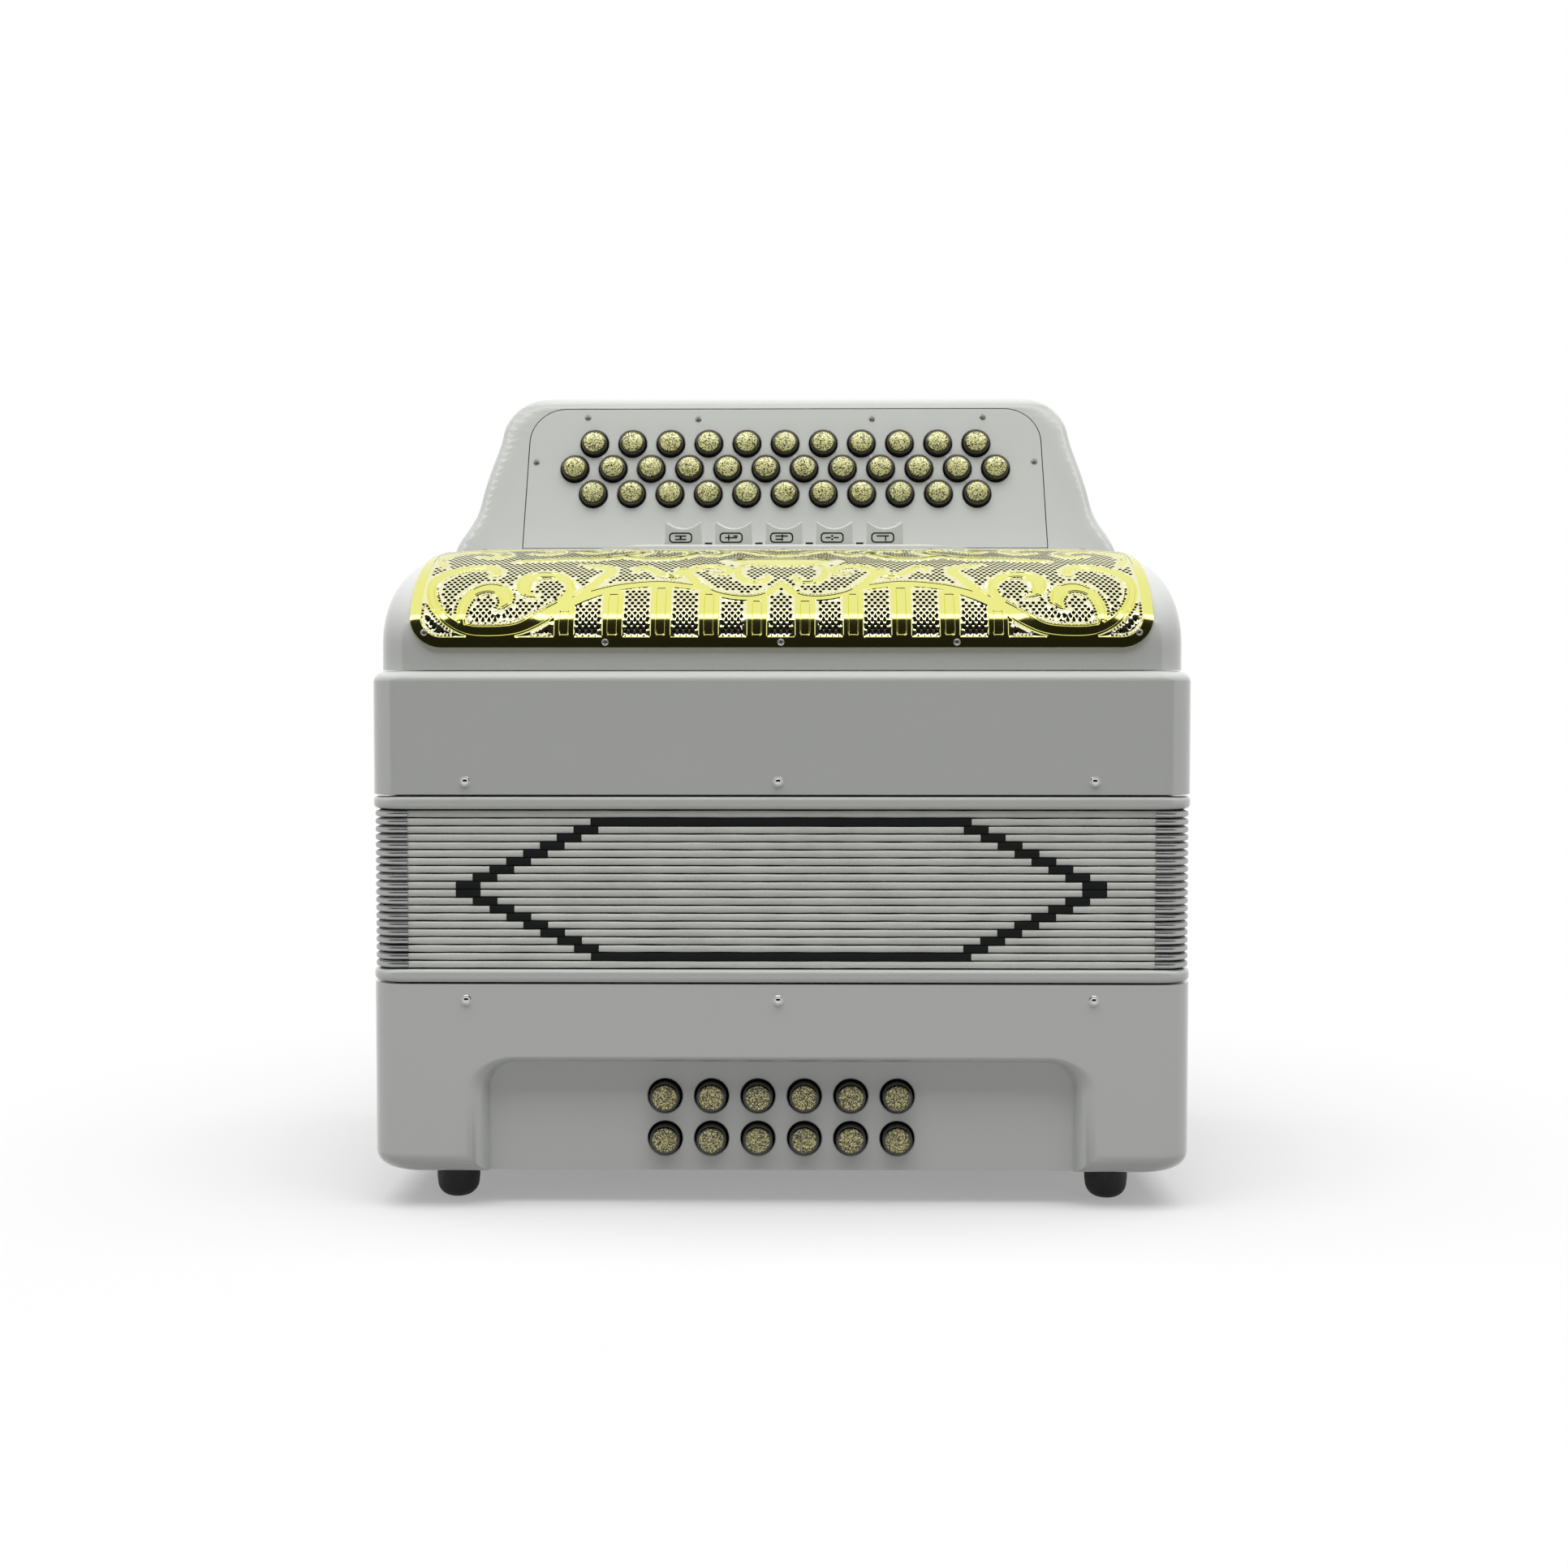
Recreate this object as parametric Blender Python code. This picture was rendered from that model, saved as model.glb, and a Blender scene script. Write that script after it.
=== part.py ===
"""A three-row diatonic accordion with 34 treble buttons, 12 bass buttons and 5 register tabs.

It stands on its bass end, as it is put down between tunes: feet at z = 0, bellows closed above the
bass case, and the treble end with its grille and fingerboard on top. The audience looks along +Y,
with +X to the right, and the origin is the centre of the four feet, on the surface they stand on.
"""

import math

import bmesh
import bpy
from mathutils import Matrix, Vector

MM = 0.001

# Overall sizes of the box-shaped body
CASE_WIDTH = 305 * MM
CASE_DEPTH = 180 * MM
BASS_CASE_HEIGHT = 71.2 * MM
TREBLE_CASE_HEIGHT = 45.7 * MM
CASE_WALL = 5 * MM
CASE_CORNER = 12 * MM
CASE_EDGE = 4 * MM
BASS_END_EDGE = 8 * MM

# Gaps that every pair of neighbours keeps
FIT_GAP = 0.3 * MM
SEAM = 0.6 * MM

# How far a cutter runs past the face that it opens, and how far a fused piece is sunk in
REACH = 1 * MM

# Feet
FOOT_HEIGHT = 13.2 * MM
FOOT_TOP_RADIUS = 8 * MM
FOOT_BASE_RADIUS = 6 * MM
FOOT_CHAMFER = 1 * MM
FOOT_WAIST = 10.5 * MM
FOOT_INSET = 28.5 * MM
FOOT_INSET_DEPTH = 24 * MM

# Bellows and its two frames
FRAME_HEIGHT = 4.8 * MM
FRAME_BULGE = 0.15 * MM
FRAME_ROUND = 0.4 * MM
FRAME_WALL = 12 * MM
FOLD_COUNT = 20
FOLD_PITCH = 2.94 * MM
FOLD_DEPTH = 20 * MM
FOLD_TAPE = 1.82 * MM
FOLD_CARD = 1.8 * MM
BELLOWS_INSET = 1.8 * MM
BELLOWS_CORNER = 8 * MM
BELLOWS_INNER_CORNER = 2 * MM

# Bass keyboard: a recess in the front of the bass case, with its buttons on the floor of it
RECESS_WIDTH = 219 * MM
RECESS_TOP_DROP = 30 * MM
RECESS_DEPTH = 9 * MM
RECESS_SLOPE = 7 * MM
RECESS_CORNER = 14 * MM
BASS_COLUMNS = 6
BASS_ROWS = 2
BASS_PITCH = 17.4 * MM
BASS_ROW_GAP = 16 * MM
BASS_LOW_ROW = 12 * MM
BASS_BUTTON_RADIUS = 5.6 * MM
BASS_BUTTON_GAP = 0.9 * MM
BASS_TRAVEL = 3.5 * MM
BASS_PRESSED_PROUD = 0.8 * MM
BASS_STEM_RADIUS = 2.2 * MM
BASS_STEM_LENGTH = 9 * MM
BUTTON_CHAMFER = 0.6 * MM
BUTTON_GUIDE = 2 * MM

# Air button in the floor of the bass case
AIR_X = 73.5 * MM
AIR_INSET_DEPTH = 22 * MM
AIR_RADIUS = 2.9 * MM
AIR_GAP = 0.4 * MM
AIR_TRAVEL = 2 * MM
AIR_PRESSED_PROUD = 0.4 * MM
AIR_LENGTH = 12 * MM
AIR_CHAMFER = 0.5 * MM

# Treble cover: a rounded hood over the pallets, which rises into the neck at the back
COVER_INSET = 2.5 * MM
COVER_FRONT_INSET = 3.5 * MM
COVER_BACK_INSET = 2 * MM
COVER_SKIRT = 8.3 * MM
COVER_RISE = 41.5 * MM
COVER_SHOULDER = 16 * MM
COVER_CORNER_GROWTH = 8 * MM
COVER_CORNER = 14 * MM
COVER_WALL = 3.5 * MM
HOOD_POWER = 2.25
SHOULDER_POWER = 1.285
HOOD_END_ANGLE = 84
HOOD_RINGS = 11

# Neck: its front leans back, and its back is upright and flush with the cover's
NECK_FOOT_DEPTH = 44 * MM
NECK_LEAN = 15
NECK_RISE = 73.2 * MM
NECK_FOOT_INSET = 7.5 * MM
NECK_WAIST_INSET = 18.5 * MM
NECK_HEAD_INSET = 26.7 * MM
NECK_SIDE_BOW = 0.5 * MM
NECK_FLARE_RISE = 24 * MM
NECK_FLARE_POWER = 0.85
NECK_HEAD_CORNER = 20 * MM
NECK_ROOT_INSET = 0.8 * MM
NECK_FOOT_OVER_CREST = 3.8 * MM
NECK_EDGE = 4 * MM
NECK_BACK_EDGE = 7 * MM
NECK_CAVITY_SPARE = 1.9 * MM
NECK_CHIMNEY_INSET = 10 * MM
NECK_CHIMNEY_LAP = 7 * MM

# Fingerboard plate, let into the front of the neck
PLATE_FOOT_MARGIN = 30.4 * MM
PLATE_HEAD_MARGIN = 12.8 * MM
PLATE_START = 2.8 * MM
PLATE_LENGTH = 65 * MM
PLATE_CORNER = 16 * MM
PLATE_THICKNESS = 2.5 * MM
PLATE_SEAM = 0.35 * MM
PLATE_LEDGE = 6 * MM

# Treble buttons, in three rows up the fingerboard
TREBLE_ROW_COUNTS = (11, 12, 11)
TREBLE_PITCH = 16.87 * MM
TREBLE_ROW_START = 27.2 * MM
TREBLE_ROW_GAP = 11.8 * MM
TREBLE_BUTTON_RADIUS = 5.6 * MM
TREBLE_BUTTON_GAP = 0.8 * MM
TREBLE_TRAVEL = 2.6 * MM
TREBLE_PRESSED_PROUD = 0.2 * MM
TREBLE_GUIDE = 4 * MM
TREBLE_STEM_RADIUS = 2 * MM
TREBLE_STEM_LENGTH = 6 * MM

# Register tabs: rockers on a raised plinth between the grille and the neck
REGISTER_BACK_RISE = 1.6 * MM
REGISTER_COUNT = 5
REGISTER_PITCH = 21.3 * MM
REGISTER_WIDTH = 16.3 * MM
REGISTER_TOP_WIDTH = 15.2 * MM
REGISTER_DEPTH = 13 * MM
REGISTER_HEIGHT = 15.2 * MM
REGISTER_ROOT = 5 * MM
REGISTER_DISH = 3.2 * MM
REGISTER_DISH_STEPS = 6
REGISTER_TO_NECK = 22 * MM
REGISTER_ROCK = 11
REGISTER_SLOT_CLEARANCE = 0.65 * MM
PLINTH_HALF_WIDTH = 92 * MM
PLINTH_RAMP = 10 * MM
PLINTH_RISE = 4.4 * MM
PLINTH_SHELF = 19 * MM
PLINTH_ROOT = 2 * MM
PLINTH_CORNER = 2 * MM
PLINTH_EDGE = 1 * MM

# Grille: a pierced sheet wrapped over the front of the hood
GRILLE_SIDE_MARGIN = 12.7 * MM
GRILLE_START = 8.2 * MM
GRILLE_TO_PLINTH = 13 * MM
GRILLE_SHEET = 1.1 * MM
GRILLE_CORNER = 12 * MM
GRILLE_MARGIN = 11 * MM
MOUTH_CORNER = 6 * MM
WINDOW_COUNT = 11
WINDOW_PITCH = 17.8 * MM
WINDOW_WIDTH = 10.2 * MM
WINDOW_SILL = 4.2 * MM
WINDOW_HEIGHT = 13.5 * MM
WINDOW_ARCH = 4.5 * MM

# Soundboard: the roof of the treble case. Under it hang two reed blocks, with a chamber for each button
BOARD_THICKNESS = 4.4 * MM
CHAMBER_COUNT = 17
CHAMBER_PITCH = 15.5 * MM
CHAMBER_WIDTH = 6 * MM
CHAMBER_LENGTH = 11 * MM
CHAMBER_FLOOR = 5 * MM
REED_BLOCK_COUNT = 2
REED_BLOCK_FIRST = 42 * MM
REED_BLOCK_PITCH = 26 * MM
REED_BLOCK_TOP_WIDTH = 14 * MM
REED_BLOCK_FOOT_WIDTH = 7.7 * MM
REED_BLOCK_END = 3 * MM
REED_BLOCK_HEIGHT = 34 * MM

# How finely round shapes are drawn
CORNER_STEPS = 4
BELLOWS_CORNER_STEPS = 2
BUTTON_SIDES = 10
FOOT_SIDES = 16
NECK_STEPS = 5
WINDOW_STEPS = 6
SHARP_ANGLE = 35

# Levels up the object, from the feet
BASS_FLOOR_Z = FOOT_HEIGHT
BASS_TOP_Z = BASS_FLOOR_Z + BASS_CASE_HEIGHT
BASS_FRAME_Z = BASS_TOP_Z + SEAM
BELLOWS_Z = BASS_FRAME_Z + FRAME_HEIGHT + FIT_GAP
BELLOWS_TOP_Z = BELLOWS_Z + FOLD_COUNT * FOLD_PITCH
TREBLE_FRAME_Z = BELLOWS_TOP_Z + FIT_GAP
TREBLE_CASE_Z = TREBLE_FRAME_Z + FRAME_HEIGHT + SEAM
TREBLE_TOP_Z = TREBLE_CASE_Z + TREBLE_CASE_HEIGHT
COVER_Z = TREBLE_TOP_Z + FIT_GAP
HOOD_Z = COVER_Z + COVER_SKIRT
CREST_Z = HOOD_Z + COVER_RISE

# Planes and half-widths that several pieces share
HALF_WIDTH = CASE_WIDTH / 2
HALF_DEPTH = CASE_DEPTH / 2
COVER_HALF_WIDTH = HALF_WIDTH - COVER_INSET
COVER_BACK_Y = HALF_DEPTH - COVER_BACK_INSET
NECK_FOOT_Y = COVER_BACK_Y - NECK_FOOT_DEPTH
REGISTER_Y = NECK_FOOT_Y - REGISTER_TO_NECK
PLINTH_FRONT_Y = REGISTER_Y - PLINTH_SHELF
GRILLE_REAR_Y = PLINTH_FRONT_Y - GRILLE_TO_PLINTH
COVER_CREST_Y = PLINTH_FRONT_Y + 2 * PLINTH_EDGE
GRILLE_HALF_WIDTH = COVER_HALF_WIDTH - GRILLE_SIDE_MARGIN
LEAN = math.radians(NECK_LEAN)
NECK_FOOT_Z = CREST_Z + NECK_FOOT_OVER_CREST
NECK_FOOT = Matrix.Translation((0, NECK_FOOT_Y, NECK_FOOT_Z))
FINGERBOARD = NECK_FOOT @ Matrix.Rotation(math.pi / 2 - LEAN, 4, "X")

# What the buttons and tabs need round them
BASS_HOLE_RADIUS = BASS_BUTTON_RADIUS + BASS_BUTTON_GAP
BASS_PROUD = BASS_TRAVEL + BASS_PRESSED_PROUD
AIR_HOLE_RADIUS = AIR_RADIUS + AIR_GAP
AIR_PROUD = AIR_TRAVEL + AIR_PRESSED_PROUD
TREBLE_HOLE_RADIUS = TREBLE_BUTTON_RADIUS + TREBLE_BUTTON_GAP
TREBLE_PROUD = TREBLE_TRAVEL + TREBLE_PRESSED_PROUD
TREBLE_SKIRT = PLATE_THICKNESS + TREBLE_GUIDE
NECK_CAVITY_DEPTH = TREBLE_SKIRT + TREBLE_STEM_LENGTH + TREBLE_TRAVEL + NECK_CAVITY_SPARE
REGISTER_SLOT_GAP = REGISTER_ROOT * math.sin(math.radians(REGISTER_ROCK)) + REGISTER_SLOT_CLEARANCE


def clear_scene():
    for obj in list(bpy.data.objects):
        bpy.data.objects.remove(obj, do_unlink=True)


def material(name, colour, roughness, metallic=0.0):
    found = bpy.data.materials.get(name)
    if found:
        return found
    made = bpy.data.materials.new(name)
    made.use_nodes = True
    shader = made.node_tree.nodes["Principled BSDF"]
    shader.inputs["Base Color"].default_value = (*colour, 1)
    shader.inputs["Roughness"].default_value = roughness
    shader.inputs["Metallic"].default_value = metallic
    return made


def white_lacquer():
    return material("white_lacquer", (0.74, 0.76, 0.74), 0.12)


def gold_plate():
    return material("gold_plate", (0.83, 0.78, 0.25), 0.16, 1.0)


def gold_glitter():
    return material("gold_glitter", (0.55, 0.48, 0.12), 0.35, 0.6)


def bellows_cloth():
    return material("bellows_cloth", (0.55, 0.56, 0.54), 0.85)


def black_plastic():
    return material("black_plastic", (0.02, 0.02, 0.02), 0.4)


def add_object(name, mesh, finish, place=None):
    """A named object with its own material, and round faces shaded smooth."""
    obj = bpy.data.objects.new(name, mesh)
    bpy.context.scene.collection.objects.link(obj)
    if not mesh.materials:
        mesh.materials.append(finish)
    mesh.shade_smooth()
    mesh.set_sharp_from_angle(angle=math.radians(SHARP_ANGLE))
    if place is not None:
        obj.matrix_world = place
    return obj


def finished_mesh(name, work):
    """A mesh from bmesh data, with every face turned outwards."""
    bmesh.ops.recalc_face_normals(work, faces=work.faces)
    mesh = bpy.data.meshes.new(name)
    work.to_mesh(mesh)
    work.free()
    return mesh


def rounded_ring(half_x, front, back, radius, z, steps=CORNER_STEPS):
    """A rectangle with round corners, level at z, anticlockwise seen from above."""
    corners = (
        (half_x - radius, back - radius, 0),
        (radius - half_x, back - radius, 90),
        (radius - half_x, front + radius, 180),
        (half_x - radius, front + radius, 270),
    )
    points = []
    for x, y, start in corners:
        for step in range(steps + 1):
            angle = math.radians(start + 90 * step / steps)
            points.append(Vector((x + radius * math.cos(angle), y + radius * math.sin(angle), z)))
    return points


def circle_ring(radius, z, sides):
    angles = [2 * math.pi * (side + 0.5) / sides for side in range(sides)]
    return [Vector((radius * math.cos(angle), radius * math.sin(angle), z)) for angle in angles]


def loft(name, rings, tube=False):
    """A solid skinned over rings of equal point counts. A tube joins its last ring to its first."""
    work = bmesh.new()
    loops = [[work.verts.new(point) for point in ring] for ring in rings]
    pairs = list(zip(loops, loops[1:]))
    if tube:
        pairs.append((loops[-1], loops[0]))
    for low, high in pairs:
        for index in range(len(low)):
            after = (index + 1) % len(low)
            work.faces.new((low[index], low[after], high[after], high[index]))
    if not tube:
        work.faces.new(loops[0])
        work.faces.new(loops[-1])
    return finished_mesh(name, work)


def turned(name, profile, sides=BUTTON_SIDES):
    """A round solid about local Z, from (radius, height) pairs."""
    return loft(name, [circle_ring(radius, height, sides) for radius, height in profile])


def prism(name, outline, low, high):
    """A flat outline of (x, y) points carried from local z = low to z = high."""
    rings = [[Vector((x, y, level)) for x, y in outline] for level in (low, high)]
    return loft(name, rings)


def box(name, low, high):
    x0, y0, z0 = low
    x1, y1, z1 = high
    return prism(name, ((x0, y0), (x1, y0), (x1, y1), (x0, y1)), z0, z1)


def centred(count, pitch):
    """Evenly spaced positions about 0."""
    return [(index - (count - 1) / 2) * pitch for index in range(count)]


def arc(centre_x, centre_y, radius, start, end, steps):
    """Points on an arc, angles in degrees."""
    angles = [math.radians(start + (end - start) * step / steps) for step in range(steps + 1)]
    return [(centre_x + radius * math.cos(angle), centre_y + radius * math.sin(angle)) for angle in angles]


def joined(name, meshes, places=None):
    """Several meshes as one, each moved by its own matrix. They stay separate bodies."""
    work = bmesh.new()
    for index, mesh in enumerate(meshes):
        piece = bmesh.new()
        piece.from_mesh(mesh)
        if places:
            piece.transform(places[index])
        moved = bpy.data.meshes.new(name)
        piece.to_mesh(moved)
        piece.free()
        work.from_mesh(moved)
        bpy.data.meshes.remove(moved)
    mesh = bpy.data.meshes.new(name)
    work.to_mesh(mesh)
    work.free()
    return mesh


def boolean(base, tool, operation):
    """The exact union, difference or intersection of two meshes, as a new mesh."""
    base_object = bpy.data.objects.new("base", base)
    tool_object = bpy.data.objects.new("tool", tool)
    for helper in (base_object, tool_object):
        bpy.context.scene.collection.objects.link(helper)
    modifier = base_object.modifiers.new("shape", "BOOLEAN")
    modifier.operation = operation
    modifier.solver = "EXACT"
    modifier.object = tool_object
    bpy.context.view_layer.update()
    evaluated = base_object.evaluated_get(bpy.context.evaluated_depsgraph_get())
    result = bpy.data.meshes.new_from_object(evaluated)
    result.name = base.name
    for helper in (base_object, tool_object):
        bpy.data.objects.remove(helper, do_unlink=True)
    return result


def cut(base, tool):
    return boolean(base, tool, "DIFFERENCE")


def fused(base, tool):
    return boolean(base, tool, "UNION")


def edge_rings(half_x, front, back, radius, z, edge, turn_up, steps=3):
    """Rings that round the rim of a box: from the flat end at z to the upright wall, edge away from it."""
    rings = []
    for step in range(steps + 1):
        angle = math.pi / 2 * step / steps
        inset = edge * (1 - math.sin(angle))
        rise = edge * (1 - math.cos(angle))
        level = z + rise if turn_up else z - rise
        rings.append(rounded_ring(half_x - inset, front + inset, back - inset, radius, level))
    return rings


def open_box(name, z_closed, z_open, floor, edge, front_wall=CASE_WALL):
    """A box with one open end: the rounded end at z_closed, the rim at z_open."""
    up = z_open > z_closed
    side = 1 if up else -1
    rings = edge_rings(HALF_WIDTH, -HALF_DEPTH, HALF_DEPTH, CASE_CORNER, z_closed, edge, up)
    rings.append(rounded_ring(HALF_WIDTH, -HALF_DEPTH, HALF_DEPTH, CASE_CORNER, z_open))
    radius = CASE_CORNER - CASE_WALL / 2
    inner = (HALF_WIDTH - CASE_WALL, front_wall - HALF_DEPTH, HALF_DEPTH - CASE_WALL, radius)
    rings.append(rounded_ring(*inner, z_open))
    rings.append(rounded_ring(*inner, z_closed + side * floor))
    return loft(name, rings)


def slots_down_y(name, outline, front, back):
    """An outline of (x, z) points carried along Y, as a cutter from the front."""
    mesh = prism(name, outline, front, back)
    # Local (x, y, z) becomes world (x, z, y), and the faces are turned again after the swap.
    mesh.transform(Matrix(((1, 0, 0, 0), (0, 0, 1, 0), (0, 1, 0, 0), (0, 0, 0, 1))))
    mesh.flip_normals()
    return mesh


def recess_outline(half_width, top, corner):
    """The bass recess seen from the front, open through the bottom of the case."""
    low = -FOOT_HEIGHT
    points = [(-half_width, low), (half_width, low)]
    points += arc(half_width - corner, top - corner, corner, 0, 90, CORNER_STEPS)
    points += arc(corner - half_width, top - corner, corner, 90, 180, CORNER_STEPS)
    return points


def bass_recess_cutter():
    """The recess narrows from the front of the case to its floor, so its sides slope."""
    top = BASS_TOP_Z - RECESS_TOP_DROP
    floor = recess_outline(RECESS_WIDTH / 2, top, RECESS_CORNER)
    beyond = RECESS_SLOPE + REACH * RECESS_SLOPE / RECESS_DEPTH
    wide_corner = RECESS_CORNER + RECESS_SLOPE
    mouth = recess_outline(RECESS_WIDTH / 2 + RECESS_SLOPE, top + RECESS_SLOPE, wide_corner)
    outer = recess_outline(RECESS_WIDTH / 2 + beyond, top + beyond, wide_corner)
    rings = [
        [Vector((x, -HALF_DEPTH - REACH, z)) for x, z in outer],
        [Vector((x, -HALF_DEPTH, z)) for x, z in mouth],
        [Vector((x, RECESS_DEPTH - HALF_DEPTH, z)) for x, z in floor],
    ]
    return loft("recess", rings)


def bass_button_places():
    """Matrices of the bass buttons: local Z points out of the recess floor."""
    places = []
    for row in range(BASS_ROWS):
        z = BASS_FLOOR_Z + BASS_LOW_ROW + row * BASS_ROW_GAP
        for x in centred(BASS_COLUMNS, BASS_PITCH):
            spot = Matrix.Translation((x, RECESS_DEPTH - HALF_DEPTH, z))
            places.append(spot @ Matrix.Rotation(math.pi / 2, 4, "X"))
    return places


def foot_places():
    x = HALF_WIDTH - FOOT_INSET
    y = HALF_DEPTH - FOOT_INSET_DEPTH
    return [Matrix.Translation((side * x, end * y, 0)) for end in (-1, 1) for side in (-1, 1)]


def make_bass_case():
    """A box open to the bellows, with the bass recess, its button holes and four rubber feet."""
    shell = open_box(
        "bass_case", BASS_FLOOR_Z, BASS_TOP_Z, CASE_WALL, BASS_END_EDGE, front_wall=CASE_WALL + RECESS_DEPTH
    )
    shell = cut(shell, bass_recess_cutter())
    reach = CASE_WALL + REACH
    hole = turned("hole", ((BASS_HOLE_RADIUS, -reach), (BASS_HOLE_RADIUS, reach)))
    places = bass_button_places()
    shell = cut(shell, joined("holes", [hole] * len(places), places))
    air_hole = turned("hole", ((AIR_HOLE_RADIUS, -reach), (AIR_HOLE_RADIUS, reach)))
    shell = cut(shell, joined("hole", [air_hole], [air_button_place()]))
    profile = (
        (FOOT_BASE_RADIUS - FOOT_CHAMFER, 0),
        (FOOT_BASE_RADIUS, FOOT_CHAMFER),
        (FOOT_TOP_RADIUS, FOOT_WAIST),
        (FOOT_TOP_RADIUS, FOOT_HEIGHT + REACH),
    )
    foot = turned("foot", profile, FOOT_SIDES)
    shell = fused(shell, joined("feet", [foot] * 4, foot_places()))
    add_object("bass_case", shell, white_lacquer())


def make_bass_buttons():
    """Each button is a flat cap on a stem that runs to the bass mechanism."""
    skirt = CASE_WALL + BUTTON_GUIDE
    profile = (
        (BASS_STEM_RADIUS, -skirt - BASS_STEM_LENGTH),
        (BASS_STEM_RADIUS, -skirt),
        (BASS_BUTTON_RADIUS, -skirt),
        (BASS_BUTTON_RADIUS, BASS_PROUD - BUTTON_CHAMFER),
        (BASS_BUTTON_RADIUS - BUTTON_CHAMFER, BASS_PROUD),
    )
    mesh = turned("bass_button", profile)
    for index, place in enumerate(bass_button_places()):
        add_object(f"bass_button_{index + 1:02d}", mesh, gold_glitter(), place)


def air_button_place():
    return Matrix.Translation((AIR_X, AIR_INSET_DEPTH - HALF_DEPTH, BASS_FLOOR_Z))


def make_air_button():
    profile = (
        (AIR_RADIUS - AIR_CHAMFER, -AIR_PROUD),
        (AIR_RADIUS, AIR_CHAMFER - AIR_PROUD),
        (AIR_RADIUS, AIR_LENGTH - AIR_PROUD),
    )
    add_object("air_button", turned("air_button", profile), black_plastic(), air_button_place())


def make_bellows_frame(name, z):
    """A white wooden ring, slightly rounded outwards, that closes one end of the bellows."""
    shape = (
        (0, -FRAME_ROUND),
        (2 * FRAME_ROUND, 0),
        (FRAME_HEIGHT / 2, FRAME_BULGE),
        (FRAME_HEIGHT - 2 * FRAME_ROUND, 0),
        (FRAME_HEIGHT, -FRAME_ROUND),
    )
    rings = []
    for rise, out in shape:
        level = z + rise
        limits = (HALF_WIDTH + out, -HALF_DEPTH - out, HALF_DEPTH + out)
        rings.append(rounded_ring(*limits, CASE_CORNER, level))
    inner = (HALF_WIDTH - FRAME_WALL, FRAME_WALL - HALF_DEPTH, HALF_DEPTH - FRAME_WALL, CASE_CORNER / 2)
    rings.append(rounded_ring(*inner, z + FRAME_HEIGHT))
    rings.append(rounded_ring(*inner, z))
    add_object(name, loft(name, rings, tube=True), white_lacquer())


def bellows_ring(inset, z):
    """A ring round the bellows. Rings set deeper in have squarer corners, as mitred cards do."""
    share = min(inset / FOLD_DEPTH, 1)
    radius = BELLOWS_CORNER + share * (BELLOWS_INNER_CORNER - BELLOWS_CORNER)
    inset += BELLOWS_INSET
    limits = (HALF_WIDTH - inset, inset - HALF_DEPTH, HALF_DEPTH - inset)
    return rounded_ring(*limits, radius, z, BELLOWS_CORNER_STEPS)


def make_bellows():
    """A folded card wall: each fold has a taped outer edge, and a valley between it and the next."""
    outside = []
    inside = []
    for fold in range(FOLD_COUNT):
        low = BELLOWS_Z + fold * FOLD_PITCH
        middle = low + FOLD_PITCH / 2
        outside += [bellows_ring(0, middle - FOLD_TAPE / 2), bellows_ring(0, middle + FOLD_TAPE / 2)]
        inside.append(bellows_ring(FOLD_CARD, middle))
        if fold < FOLD_COUNT - 1:
            outside.append(bellows_ring(FOLD_DEPTH, low + FOLD_PITCH))
            inside.append(bellows_ring(FOLD_DEPTH + FOLD_CARD, low + FOLD_PITCH))
    foot = [bellows_ring(FOLD_DEPTH, BELLOWS_Z), bellows_ring(FOLD_DEPTH / 4, BELLOWS_Z)]
    head = [bellows_ring(FOLD_DEPTH / 4, BELLOWS_TOP_Z), bellows_ring(FOLD_DEPTH, BELLOWS_TOP_Z)]
    rings = foot + outside + head + inside[::-1]
    add_object("bellows", loft("bellows", rings, tube=True), bellows_cloth())


def make_treble_case():
    """A box open to the bellows. Its roof is the soundboard, which carries the reed blocks."""
    shell = open_box("treble_case", TREBLE_TOP_Z, TREBLE_CASE_Z, BOARD_THICKNESS, CASE_EDGE)
    rows = [REED_BLOCK_FIRST - HALF_DEPTH + row * REED_BLOCK_PITCH for row in range(REED_BLOCK_COUNT)]
    for y in rows:
        shell = fused(shell, reed_block(y))
    low = TREBLE_TOP_Z - BOARD_THICKNESS - REED_BLOCK_HEIGHT + CHAMBER_FLOOR
    half_x = CHAMBER_WIDTH / 2
    half_y = CHAMBER_LENGTH / 2
    chamber = box("chamber", (-half_x, -half_y, low), (half_x, half_y, TREBLE_TOP_Z + REACH))
    places = [Matrix.Translation((x, y, 0)) for y in rows for x in centred(CHAMBER_COUNT, CHAMBER_PITCH)]
    shell = cut(shell, joined("chambers", [chamber] * len(places), places))
    add_object("treble_case", shell, white_lacquer())


def reed_block(y):
    """A long block under the soundboard. It narrows downwards, so its chambers open in its sides."""
    top = TREBLE_TOP_Z - BOARD_THICKNESS
    half_x = (CHAMBER_COUNT - 1) / 2 * CHAMBER_PITCH + CHAMBER_WIDTH / 2 + REED_BLOCK_END
    rings = []
    for width, level in (
        (REED_BLOCK_TOP_WIDTH, top + REACH),
        (REED_BLOCK_TOP_WIDTH, top),
        (REED_BLOCK_FOOT_WIDTH, top - REED_BLOCK_HEIGHT),
    ):
        corners = ((-half_x, -width / 2), (half_x, -width / 2), (half_x, width / 2), (-half_x, width / 2))
        rings.append([Vector((x, y + side, level)) for x, side in corners])
    return loft("reed_block", rings)


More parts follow.
